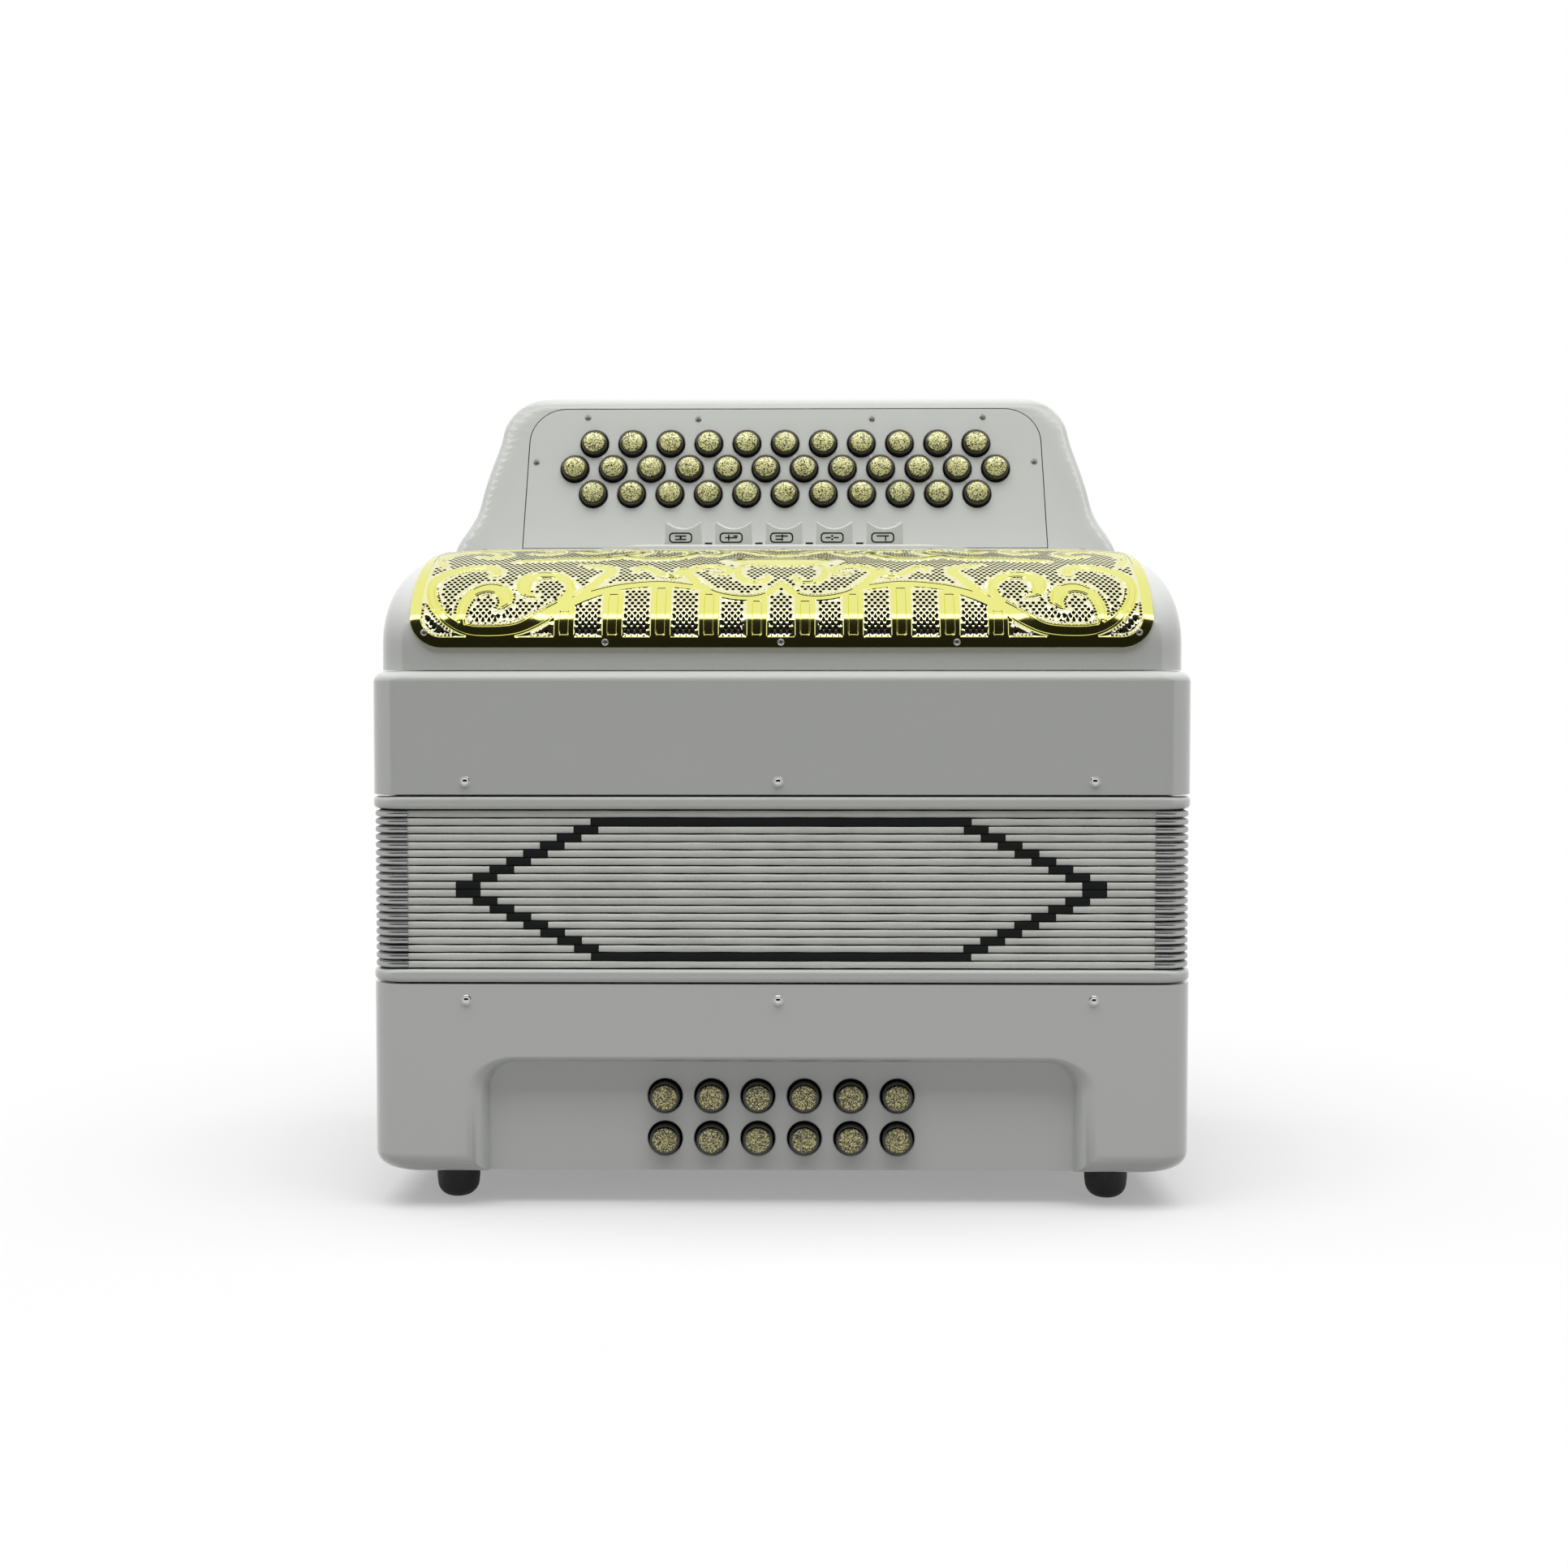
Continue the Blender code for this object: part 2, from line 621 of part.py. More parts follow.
def hood_point(angle, offset=0.0):
    """(y, z) on the hood's front profile, a superellipse, moved out by offset along its normal."""
    across = COVER_CREST_Y + HALF_DEPTH - COVER_FRONT_INSET
    power = 2 / HOOD_POWER
    y = COVER_CREST_Y - across * math.cos(angle) ** power
    z = HOOD_Z + COVER_RISE * math.sin(angle) ** power
    if not offset:
        return y, z
    step = math.radians(0.5)
    start = max(angle - step, 0)
    end = min(angle + step, math.pi / 2 - step)
    y0, z0 = hood_point(start)
    y1, z1 = hood_point(end)
    length = math.hypot(y1 - y0, z1 - z0)
    return y - offset * (z1 - z0) / length, z + offset * (y1 - y0) / length


def hood(name, wall, z_open):
    """The hood as a solid, set in by wall on every side, from its foot at z_open to its crest."""
    half_x = COVER_HALF_WIDTH - wall
    back = COVER_BACK_Y - wall
    front = COVER_FRONT_INSET - HALF_DEPTH + wall
    radius = COVER_CORNER - wall
    rings = [rounded_ring(half_x, front, back, radius, z) for z in (z_open, HOOD_Z)]
    for step in range(1, HOOD_RINGS + 1):
        angle = math.radians(HOOD_END_ANGLE) * step / HOOD_RINGS
        y, z = hood_point(angle, -wall)
        narrowing = COVER_SHOULDER * (1 - math.cos(angle) ** SHOULDER_POWER)
        round_off = radius + COVER_CORNER_GROWTH * (1 - math.cos(angle))
        rings.append(rounded_ring(half_x - narrowing, y, back, round_off, z))
    return loft(name, rings)


def neck_front_y(z):
    return NECK_FOOT_Y + (z - NECK_FOOT_Z) * math.tan(LEAN)


def neck_outline():
    """The neck from the front: flared at the foot, narrowing evenly, with round shoulders."""
    foot = NECK_FOOT_Z
    head = foot + NECK_RISE * math.cos(LEAN)
    flare_top = foot + NECK_FLARE_RISE
    root = COVER_HALF_WIDTH - NECK_ROOT_INSET
    wide = HALF_WIDTH - NECK_FOOT_INSET
    waist = HALF_WIDTH - NECK_WAIST_INSET
    narrow = HALF_WIDTH - NECK_HEAD_INSET
    half = [(root, COVER_Z), (root, HOOD_Z), (wide, foot)]
    for step in range(1, NECK_STEPS + 1):
        share = step / NECK_STEPS
        ease = (1 - math.cos(math.pi * share ** NECK_FLARE_POWER)) / 2
        half.append((wide + (waist - wide) * ease, foot + NECK_FLARE_RISE * share))
    corner_z = head - NECK_HEAD_CORNER
    half.append(((waist + narrow) / 2 + NECK_SIDE_BOW, (flare_top + corner_z) / 2))
    half += arc(narrow - NECK_HEAD_CORNER, corner_z, NECK_HEAD_CORNER, 0, 90, NECK_STEPS)
    return half + [(-x, z) for x, z in half[::-1]]


def neck():
    """The neck as a solid wedge, with its front and back rims rounded."""
    outline = neck_outline()
    front = [Vector((x, neck_front_y(z), z)) for x, z in outline]
    back = [Vector((x, COVER_BACK_Y, z)) for x, z in outline]
    mesh = loft("neck", [front, back])
    for size, chosen in ((NECK_EDGE, min), (NECK_BACK_EDGE, max)):
        work = bmesh.new()
        work.from_mesh(mesh)
        outlines = [face for face in work.faces if len(face.verts) == len(outline)]
        rim_face = chosen(outlines, key=lambda face: face.calc_center_median().y)
        rim = [edge for edge in rim_face.edges if max(vert.co.z for vert in edge.verts) > COVER_Z + REACH]
        bmesh.ops.bevel(work, geom=rim, offset=size, segments=3, profile=0.5, affect="EDGES")
        mesh = finished_mesh("neck", work)
    return mesh


def plate_outline(clearance):
    """The fingerboard plate in the fingerboard's own plane, x across and y up it."""
    low = PLATE_START - clearance
    high = PLATE_START + PLATE_LENGTH + clearance
    foot = HALF_WIDTH - NECK_FOOT_INSET - PLATE_FOOT_MARGIN + clearance
    head = HALF_WIDTH - NECK_HEAD_INSET - PLATE_HEAD_MARGIN + clearance
    corner = PLATE_CORNER + clearance
    points = [(-foot, low), (foot, low)]
    points += arc(head - corner, high - corner, corner, 0, 90, NECK_STEPS)
    points += arc(corner - head, high - corner, corner, 90, 180, NECK_STEPS)
    return points


def treble_button_places():
    """Matrices of the treble buttons, row by row from the lowest: local Z points out of the fingerboard."""
    places = []
    for row, count in enumerate(TREBLE_ROW_COUNTS):
        up = TREBLE_ROW_START + row * TREBLE_ROW_GAP
        for x in centred(count, TREBLE_PITCH):
            places.append(FINGERBOARD @ Matrix.Translation((x, up, 0)))
    return places


def plinth():
    """The raised block that carries the register tabs, with ramps at its ends."""
    low = CREST_Z - PLINTH_ROOT
    high = CREST_Z + PLINTH_RISE
    back = NECK_FOOT_Y + NECK_EDGE + 2 * REACH
    rings = []
    for level, half_x, front in (
        (low, PLINTH_HALF_WIDTH + PLINTH_RAMP / 2, PLINTH_FRONT_Y - PLINTH_EDGE),
        (high - PLINTH_EDGE, PLINTH_HALF_WIDTH - PLINTH_RAMP / 2, PLINTH_FRONT_Y),
        (high, PLINTH_HALF_WIDTH - PLINTH_RAMP, PLINTH_FRONT_Y + PLINTH_EDGE),
    ):
        rings.append(rounded_ring(half_x, front, back, PLINTH_CORNER, level, 2))
    return loft("plinth", rings)


def register_places():
    return [Matrix.Translation((x, REGISTER_Y, CREST_Z)) for x in centred(REGISTER_COUNT, REGISTER_PITCH)]


def make_treble_cover():
    """Hood, neck and plinth moulded as one shell, open below, behind the grille and behind the plate."""
    shell = fused(hood("treble_cover", 0, COVER_Z), neck())
    shell = fused(shell, plinth())
    shell = cut(shell, hood("inside", COVER_WALL, COVER_Z - REACH))
    shell = cut(shell, neck_chimney())
    shell = cut(shell, neck_pocket())
    shell = cut(shell, grille_opening())
    wide = REGISTER_WIDTH / 2 + REGISTER_SLOT_GAP
    deep = REGISTER_DEPTH / 2 + REGISTER_SLOT_GAP
    slot = box("slot", (-wide, -deep, -COVER_WALL - 2 * REACH), (wide, deep, PLINTH_RISE + REACH))
    places = register_places()
    shell = cut(shell, joined("slots", [slot] * len(places), places))
    add_object("treble_cover", shell, white_lacquer())


def neck_pocket():
    """The space behind the fingerboard plate, and the ledge that the plate lies on."""
    seat = PLATE_THICKNESS + FIT_GAP
    rebate = prism("rebate", plate_outline(PLATE_SEAM), -seat, REACH)
    opening = prism("opening", plate_outline(-PLATE_LEDGE), -NECK_CAVITY_DEPTH, REACH - seat)
    tool = fused(rebate, opening)
    tool.transform(FINGERBOARD)
    return tool


def neck_chimney():
    """The way for the levers from the hood up into the neck."""
    half_x = HALF_WIDTH - NECK_HEAD_INSET - PLATE_HEAD_MARGIN - NECK_CHIMNEY_INSET
    top = NECK_FOOT_Z + PLATE_START + PLATE_LEDGE + NECK_CHIMNEY_LAP
    front = neck_front_y(top) + PLATE_THICKNESS + 2 * REACH
    back = front + NECK_CAVITY_DEPTH - 2 * COVER_WALL
    return box("chimney", (-half_x, front, CREST_Z - 2 * COVER_WALL), (half_x, back, top))


def grille_opening():
    """The mouth of the hood that the grille covers."""
    half_x = GRILLE_HALF_WIDTH - GRILLE_MARGIN
    low = COVER_Z + GRILLE_START + WINDOW_SILL / 2
    inner = half_x - MOUTH_CORNER
    points = [(half_x, CREST_Z + REACH), (-half_x, CREST_Z + REACH)]
    points += arc(-inner, low + MOUTH_CORNER, MOUTH_CORNER, 180, 270, CORNER_STEPS)
    points += arc(inner, low + MOUTH_CORNER, MOUTH_CORNER, 270, 360, CORNER_STEPS)
    return slots_down_y("opening", points, -HALF_DEPTH - REACH, GRILLE_REAR_Y - GRILLE_MARGIN)


def grille_outline():
    """The sheet's outline from the front, with its two lower corners round."""
    low = COVER_Z + GRILLE_START
    high = CREST_Z + 2 * GRILLE_SHEET
    inner = GRILLE_HALF_WIDTH - GRILLE_CORNER
    points = [(GRILLE_HALF_WIDTH, high), (-GRILLE_HALF_WIDTH, high)]
    points += arc(-inner, low + GRILLE_CORNER, GRILLE_CORNER, 180, 270, CORNER_STEPS)
    points += arc(inner, low + GRILLE_CORNER, GRILLE_CORNER, 270, 360, CORNER_STEPS)
    return points


def grille_sheet():
    """The sheet before it is pierced: an offset of the hood's own surface, so that it wraps its corners."""
    band = slots_down_y("grille", grille_outline(), -HALF_DEPTH - REACH, GRILLE_REAR_Y)
    over = hood("over", -FIT_GAP - GRILLE_SHEET, COVER_Z)
    under = hood("under", -FIT_GAP, COVER_Z - REACH)
    return cut(boolean(over, band, "INTERSECT"), under)


def window_cutters():
    """Arched windows between upright bars. Their tops follow a wide arch over the whole row."""
    low = COVER_Z + GRILLE_START + WINDOW_SILL
    half = WINDOW_WIDTH / 2
    cutters = []
    for x in centred(WINDOW_COUNT, WINDOW_PITCH):
        rise = WINDOW_ARCH * math.cos(math.pi * x / (WINDOW_COUNT * WINDOW_PITCH))
        spring = low + WINDOW_HEIGHT + rise - half
        points = [(x - half, low), (x + half, low)] + arc(x, spring, half, 0, 180, WINDOW_STEPS)
        cutters.append(slots_down_y("window", points, -HALF_DEPTH - REACH, -HALF_DEPTH / 2))
    return cutters


def make_grille():
    sheet = cut(grille_sheet(), joined("windows", window_cutters()))
    add_object("grille", sheet, gold_plate())


def make_fingerboard_plate():
    plate = prism("fingerboard_plate", plate_outline(0), -PLATE_THICKNESS, 0)
    reach = PLATE_THICKNESS + REACH
    hole = turned("hole", ((TREBLE_HOLE_RADIUS, -reach), (TREBLE_HOLE_RADIUS, reach)))
    inverse = FINGERBOARD.inverted()
    places = [inverse @ place for place in treble_button_places()]
    plate = cut(plate, joined("holes", [hole] * len(places), places))
    add_object("fingerboard_plate", plate, white_lacquer(), FINGERBOARD)


def make_treble_buttons():
    """Each button is a flat cap with a stem that reaches its lever inside the neck."""
    profile = (
        (TREBLE_STEM_RADIUS, -TREBLE_SKIRT - TREBLE_STEM_LENGTH),
        (TREBLE_STEM_RADIUS, -TREBLE_SKIRT),
        (TREBLE_BUTTON_RADIUS, -TREBLE_SKIRT),
        (TREBLE_BUTTON_RADIUS, TREBLE_PROUD - BUTTON_CHAMFER),
        (TREBLE_BUTTON_RADIUS - BUTTON_CHAMFER, TREBLE_PROUD),
    )
    mesh = turned("treble_button", profile)
    for index, place in enumerate(treble_button_places()):
        add_object(f"treble_button_{index + 1:02d}", mesh, gold_glitter(), place)


def register_tab():
    """A tab with a straight front, sides that close in upwards and a dished top, higher at the back."""
    foot = REGISTER_WIDTH / 2
    top = REGISTER_TOP_WIDTH / 2
    rings = []
    for y, lift in ((-REGISTER_DEPTH / 2, 0), (REGISTER_DEPTH / 2, REGISTER_BACK_RISE)):
        outline = [(-foot, -REGISTER_ROOT), (foot, -REGISTER_ROOT)]
        for step in range(REGISTER_DISH_STEPS + 1):
            share = 1 - 2 * step / REGISTER_DISH_STEPS
            outline.append((top * share, REGISTER_HEIGHT + lift - REGISTER_DISH * (1 - share * share)))
        rings.append([Vector((x, y, z)) for x, z in outline])
    return loft("register", rings)


def make_registers():
    mesh = register_tab()
    for index, place in enumerate(register_places()):
        add_object(f"register_{index + 1}", mesh, white_lacquer(), place)


def main():
    clear_scene()
    make_bass_case()
    make_bass_buttons()
    make_air_button()
    make_bellows_frame("bass_bellows_frame", BASS_FRAME_Z)
    make_bellows()
    make_bellows_frame("treble_bellows_frame", TREBLE_FRAME_Z)
    make_treble_case()
    make_treble_cover()
    make_grille()
    make_fingerboard_plate()
    make_treble_buttons()
    make_registers()


main()
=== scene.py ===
"""The looks of a white three-row diatonic accordion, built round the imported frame.

All lengths are metres in the frame's own axes: the feet stand at z = 0, the audience looks along +Y.
Levels and widths come from the frame's nodes; sizes that only the looks need are named here.
"""

import math
import random

import bmesh
import bpy
import numpy as np
from mathutils import Matrix, Vector
from mathutils.geometry import delaunay_2d_cdt


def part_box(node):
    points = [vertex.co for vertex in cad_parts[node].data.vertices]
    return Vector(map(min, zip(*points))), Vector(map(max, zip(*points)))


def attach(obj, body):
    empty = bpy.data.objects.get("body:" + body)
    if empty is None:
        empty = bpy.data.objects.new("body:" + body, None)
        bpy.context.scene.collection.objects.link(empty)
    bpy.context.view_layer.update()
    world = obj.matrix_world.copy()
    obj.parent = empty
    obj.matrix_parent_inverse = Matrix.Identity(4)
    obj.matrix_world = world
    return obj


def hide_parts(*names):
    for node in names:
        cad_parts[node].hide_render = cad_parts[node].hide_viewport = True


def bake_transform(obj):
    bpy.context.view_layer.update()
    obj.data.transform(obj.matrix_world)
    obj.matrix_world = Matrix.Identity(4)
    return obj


MM = 0.001

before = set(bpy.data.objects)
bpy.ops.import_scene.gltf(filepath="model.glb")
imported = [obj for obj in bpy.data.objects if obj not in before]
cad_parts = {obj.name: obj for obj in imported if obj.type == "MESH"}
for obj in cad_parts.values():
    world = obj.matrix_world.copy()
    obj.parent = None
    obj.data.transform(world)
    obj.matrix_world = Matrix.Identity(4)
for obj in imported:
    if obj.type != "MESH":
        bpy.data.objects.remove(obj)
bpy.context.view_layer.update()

# Camera, as the photograph was taken
PHOTO_SIDE = 1932
FOCAL_PIXELS = 2345
CAMERA_PLACE = (9 * MM, -790 * MM, 184.8 * MM)
CAMERA_YAW = 0.64
CAMERA_PITCH = -2.14
SENSOR_WIDTH = 36

# Stage. The floor throws little light back on to the object, as in the photograph
WORLD_FILL = 0.215
FLOOR_HALF = 6
FLOOR_BOUNCE = (0.27, 0.27, 0.27)
FLOOR_FADE = (0.3, 1.0)
FLOOR_WHITE = (0.12, 0.45)
FLAG_HALF_WIDTH = 1.7
FLAG_Y = -1.5
FLAG_TOP = 1.62
OVERHEAD_PLACE = (0, -0.35, 2.0)
OVERHEAD_AIM = (0, -0.1, 0.2)
OVERHEAD_SIZE = (3.0, 1.9)
OVERHEAD_POWER = 52
STRIP_LIGHT_PLACE = (0, -1.4, 1.78)
STRIP_LIGHT_AIM = (0, 0, 0.25)
STRIP_LIGHT_SIZE = (3.2, 0.22)
STRIP_LIGHT_POWER = 5.0

# Walls and edges of the box-shaped body
CASE_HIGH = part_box("bass_case")[1]
HALF_WIDTH = CASE_HIGH.x
HALF_DEPTH = CASE_HIGH.y
FOOT_HEIGHT = 13.2 * MM
CASE_WALL = 5 * MM
CASE_CORNER = 12 * MM
BASS_EDGE = 8 * MM
TREBLE_EDGE = 4 * MM
EDGE_STEPS = 8

# Feet, and the frames at the ends of the bellows
FOOT_X = HALF_WIDTH - 28.5 * MM
FOOT_Y = HALF_DEPTH - 24 * MM
FOOT_BASE_RADIUS = 7.9 * MM
FOOT_TOP_RADIUS = 8.3 * MM
FOOT_ROUND = 5.6 * MM
FRAME_WALL = 12 * MM
FRAME_ROUND = 1.9 * MM
FRAME_POWER = 0.7
FRAME_STEPS = 12

# How strongly large faces lead the shading of the edges next to them
FLAT_FACE_WEIGHT = 90

# Cutters reach this far past what they cut. Button holes have a small chamfer
REACH = 1 * MM
HOLE_CHAMFER = 0.3 * MM
HOLE_SIDES = 40

# Bass recess
RECESS_HALF_WIDTH = 109.5 * MM
RECESS_TOP_DROP = 30 * MM
RECESS_DEPTH = 9 * MM
RECESS_ROLL = 8 * MM
RECESS_TOP_ROLL_SHARE = 0.4
RECESS_ROLL_STEPS = 15
RECESS_CORNER = 11 * MM
RECESS_CORNER_STEPS = 18

# Air button
AIR_HOLE_RADIUS = 3.3 * MM
AIR_BUTTON_ROUND = 0.8 * MM
AIR_BUTTON_STEM = 6 * MM

# Bellows
BELLOWS_LOW, BELLOWS_HIGH = (corner.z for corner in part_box("bellows"))
BELLOWS_INSET = 1.8 * MM
BELLOWS_CORNER = 8 * MM
FOLD_COUNT = 20
FOLD_PITCH = (BELLOWS_HIGH - BELLOWS_LOW) / FOLD_COUNT
PATH_STEP = 1.6 * MM

# Cloth strip of a fold: its half-height, how far it stands out and how thick it is
STRIP_HALF = 1.22 * MM
STRIP_PROUD = 0.3 * MM
STRIP_THICK = 1.6 * MM

# Swells along a strip: how many waves, and the least and largest of their size, rate and phase
STRIP_SEED = 100
STRIP_WAVES = 4
STRIP_WAVE_SPANS = ((0.009, 0.021), (60, 400), (0, 6))

# Metal corners and black tape
CORNER_HALF = 1.12 * MM
CORNER_PROUD = 0.95 * MM
CORNER_THICK = 0.5 * MM
CORNER_REACH = 14.5 * MM
TAPE_HALF = STRIP_HALF + 0.2 * MM
TAPE_PROUD = 0.42 * MM
TAPE_THICK = 1.0 * MM
TAPE_BAND = 3 * MM
LOZENGE_TOP_HALF = 70.4 * MM
LOZENGE_STEP = 6.25 * MM
LOZENGE_BLOCK = 9.2 * MM

# Folded card: depths in mm of its outer and inner side, at the strips and at the bottom of the fold
CARD_EDGE_DEPTHS = (0.5, 1.6)
CARD_FOLD_DEPTHS = (16, 17.5)
CARD_INTO_STRIP = 0.72
CARD_CORNER_LOSS = 0.4
CARD_LEAST_CORNER = 1.5 * MM

# Treble cover: the hood's front profile and plan
COVER_LOW, COVER_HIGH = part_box("treble_cover")
COVER_HALF_WIDTH = COVER_HIGH.x
COVER_BACK_Y = COVER_HIGH.y
COVER_FRONT_Y = COVER_LOW.y
COVER_TOP_Z = COVER_HIGH.z
COVER_SKIRT = 8.3 * MM
COVER_RISE = 41.5 * MM
COVER_CREST_Y = 5 * MM
COVER_SHOULDER = 16 * MM
COVER_CORNER = 14 * MM
COVER_CORNER_GROWTH = 8 * MM
HOOD_POWER = 2.25
SHOULDER_POWER = 1.285
HOOD_END_ANGLE = math.radians(84)
HOOD_Z = COVER_LOW.z + COVER_SKIRT
CREST_Z = HOOD_Z + COVER_RISE

# Neck and fingerboard
LEAN = math.radians(15)
NECK_FOOT_Y = 44 * MM
NECK_FOOT_Z = CREST_Z + 3.8 * MM
NECK_FOOT_HALF = HALF_WIDTH - 7.5 * MM
NECK_WAIST_HALF = HALF_WIDTH - 18.5 * MM
NECK_HEAD_HALF = HALF_WIDTH - 26.7 * MM
NECK_ROOT_HALF = COVER_HALF_WIDTH - 0.8 * MM
NECK_FLARE_RISE = 24 * MM
NECK_FLARE_POWER = 0.85
NECK_HEAD_CORNER = 20 * MM
NECK_SIDE_BOW = 0.5 * MM
NECK_EASE = 4 * MM
NECK_FRONT_ROUND = 4 * MM
NECK_BACK_ROUND = 7 * MM
NECK_FOOT_FILLET = 5 * MM
NECK_CENTRE_Y = 68 * MM
NECK_BLEND = 2 * MM
FINGERBOARD = Matrix.Translation((0, NECK_FOOT_Y, NECK_FOOT_Z)) @ Matrix.Rotation(math.pi / 2 - LEAN, 4, "X")

# How finely the cover is drawn: points along its front and each side, rings of each stretch, and
# how far and how often the search for its edge goes
COVER_CORNER_STEPS = 16
COVER_FRONT_STEPS = 150
COVER_SIDE_STEPS = 170
HOOD_STEPS = 40
SHELF_STEPS = 26
NECK_STEPS = 40
HEAD_STEPS = 20
LONGEST_REACH = 0.25
HALVINGS = 26

# Fingerboard plate, and the well under it for the buttons
PLATE_FOOT_HALF = NECK_FOOT_HALF - 30.4 * MM
PLATE_HEAD_HALF = NECK_HEAD_HALF - 12.8 * MM
PLATE_START = 2.8 * MM
PLATE_LENGTH = 65 * MM
PLATE_CORNER = 16 * MM
PLATE_THICKNESS = 2.5 * MM
PLATE_SEAM = 0.35 * MM
PLATE_HOLE_REACH = 5 * MM
BUTTON_WELL_DEPTH = PLATE_THICKNESS + 9.3 * MM
BUTTON_WELL_REACH = 8 * MM

# Register tabs and their plinth
REGISTER_XS = [(index - 2) * 21.3 * MM for index in range(5)]
REGISTER_DEPTH = 13 * MM
REGISTER_Y = NECK_FOOT_Y - 22 * MM
REGISTER_FOOT_HALF = 8.15 * MM
REGISTER_TOP_HALF = 7.6 * MM
REGISTER_HEIGHT = 15.2 * MM
REGISTER_ROOT = 5 * MM
REGISTER_BACK_RISE = 1.6 * MM
REGISTER_SAG = 0.9 * MM
REGISTER_DISH = 3.2 * MM
REGISTER_DISH_STEPS = 10
REGISTER_SLOT_GAP = 1.6 * MM
REGISTER_SLOT_LOW = CREST_Z - 7 * MM
REGISTER_SLOT_HIGH = CREST_Z + 10 * MM
PLINTH_HALF_WIDTH = 92 * MM
PLINTH_RAMP = 34 * MM
PLINTH_RISE = 4.4 * MM
PLINTH_ROOT = 2 * MM
PLINTH_FRONT_Y = REGISTER_Y - 19 * MM
PLINTH_BACK_Y = NECK_FOOT_Y + 6 * MM
CLIP_GAP = 0.9 * MM
CLIP_SETBACK = 1.5 * MM
CLIP_THICKNESS = 1.6 * MM
CLIP_RISE = 2.1 * MM

# Signs on the register tabs, in mm: lines from point to point, and dots as (across, up, radius)
SIGN_HALF = (4.6, 1.9)
SIGN_CORNER = 1.4
SIGN_LINE = 0.55
SIGN_ROOT = 0.1
SIGN_RISE = 0.08
SIGN_DOT_RISE = 0.09
SIGN_OVERLAP = 0.35
SIGN_PLACE = (-1.0, 8.2)
SIGNS = (
    ((((-2.2, 0.7), (2.2, 0.7)), ((-2.2, -0.7), (2.2, -0.7))), ((0, 0, 0.5),)),
    ((((-2.4, 0), (2.4, 0)), ((-1, -1.1), (-1, 1.1)), ((1.2, 0.7), (2.6, 0.7))), ()),
    ((((-2.4, 0.7), (2.4, 0.7)), ((-2.4, -0.7), (0, -0.7)), ((0.3, -1.2), (0.3, 1.2))), ()),
    ((((-2.6, 0), (-0.8, 0)), ((0.8, 0), (2.6, 0))), ((0, 0.7, 0.45), (0, -0.7, 0.45))),
    ((((-2.4, 0.7), (2.4, 0.7)), ((1.2, -1.2), (1.2, 0.7))), ()),
)

# Grille: a sheet with raised work
GRILLE_HALF_WIDTH = 137.3 * MM
GRILLE_WRAP_ANGLE = 1.3
GRILLE_LENGTH = 96.8 * MM
GRILLE_LIFT = 1.25 * MM
GRILLE_SHEET = 0.9 * MM
GRILLE_CORNER = 12 * MM
GRILLE_TOP_CORNER = 10 * MM
PROFILE_SAMPLES = 1500
BAND = 4 * MM
PLAQUE_UP = 50 * MM
PLAQUE_HALF_WIDTH = 18 * MM
PLAQUE_HALF_HEIGHT = 5.5 * MM
ARCH_HALF = 85 * MM
ARCH_TOP = 31 * MM
RELIEF_SLOPE = 0.3 * MM
GROUND_DROP = 0.24 * MM
LINE_INSET = 0.85 * MM
LINE_HALF = 0.22 * MM
LINE_DEPTH = 0.2 * MM

# The grid on which the pattern is worked out, and a value for places far from any work
FIELD_STEP = 0.3 * MM
FIELD_HALF_WIDTH = 155 * MM
FIELD_LOW = -1.5 * MM
FIELD_TOP = GRILLE_LENGTH + 2 * MM
FAR_OUT = -9 * MM
RIBBON_GAP = 0.45 * MM
RIBBON_MARGIN = 3 * MM

# Upright bars along the grille's lower edge: their middles and heights in mm, the same on both sides
BARS = ((8.9, 18.5), (26.7, 22), (44.5, 25.5), (62.3, 22), (80.1, 14))
BAR_HALF = 3.8 * MM
BAR_OVERLAP = 2
BAR_PANEL_HALF = 1.7 * MM
BAR_PANEL_START = BAND + 0.6 * MM

# Teeth: short raised dashes round the raised work
TOOTH_PITCH = 1.35 * MM
TOOTH_START = 0.12 * MM
TOOTH_LENGTH = 0.85 * MM
TOOTH_RUN_OUT = 0.2 * MM
TOOTH_TOP = -0.02 * MM
TOOTH_VALLEY = -1.6 * GROUND_DROP
TOOTH_ROOM = 0.85 * (TOOTH_LENGTH + TOOTH_RUN_OUT)
TOOTH_BAR_ROOM = 1.2 * MM

# Holes: a staggered lattice with a small peak between neighbours. Rooms are distances to raised work
HOLE_PITCH = 2.25 * MM
HOLE_ROW = 1.5 * MM
HOLE_ROW_START = 0.3
HOLE_RADIUS = 0.74 * MM
HOLE_WALL = 0.46 * MM
HOLE_ROOM = 1.8 * MM
HOLE_WINDOW_ROOM = 0.92 * MM
RIM_HEIGHT = -0.38 * MM
PEAK_HEIGHT = -0.22 * MM
PEAK_ROOM = 1.3 * MM
PEAK_WINDOW_ROOM = 0.5 * MM

# Points that fill the raised work, and how far they keep from its edge and from other lines, in mm
FILLING_ACROSS = (-148, 148.1, 3)
FILLING_UP = (1, 97, 1.5)
FILLING_FROM_EDGE = 0.6
FILLING_FROM_LINE = 0.4
FILLING_FROM_PANEL = 0.5
FILLING_FROM_OUTLINE = 0.5

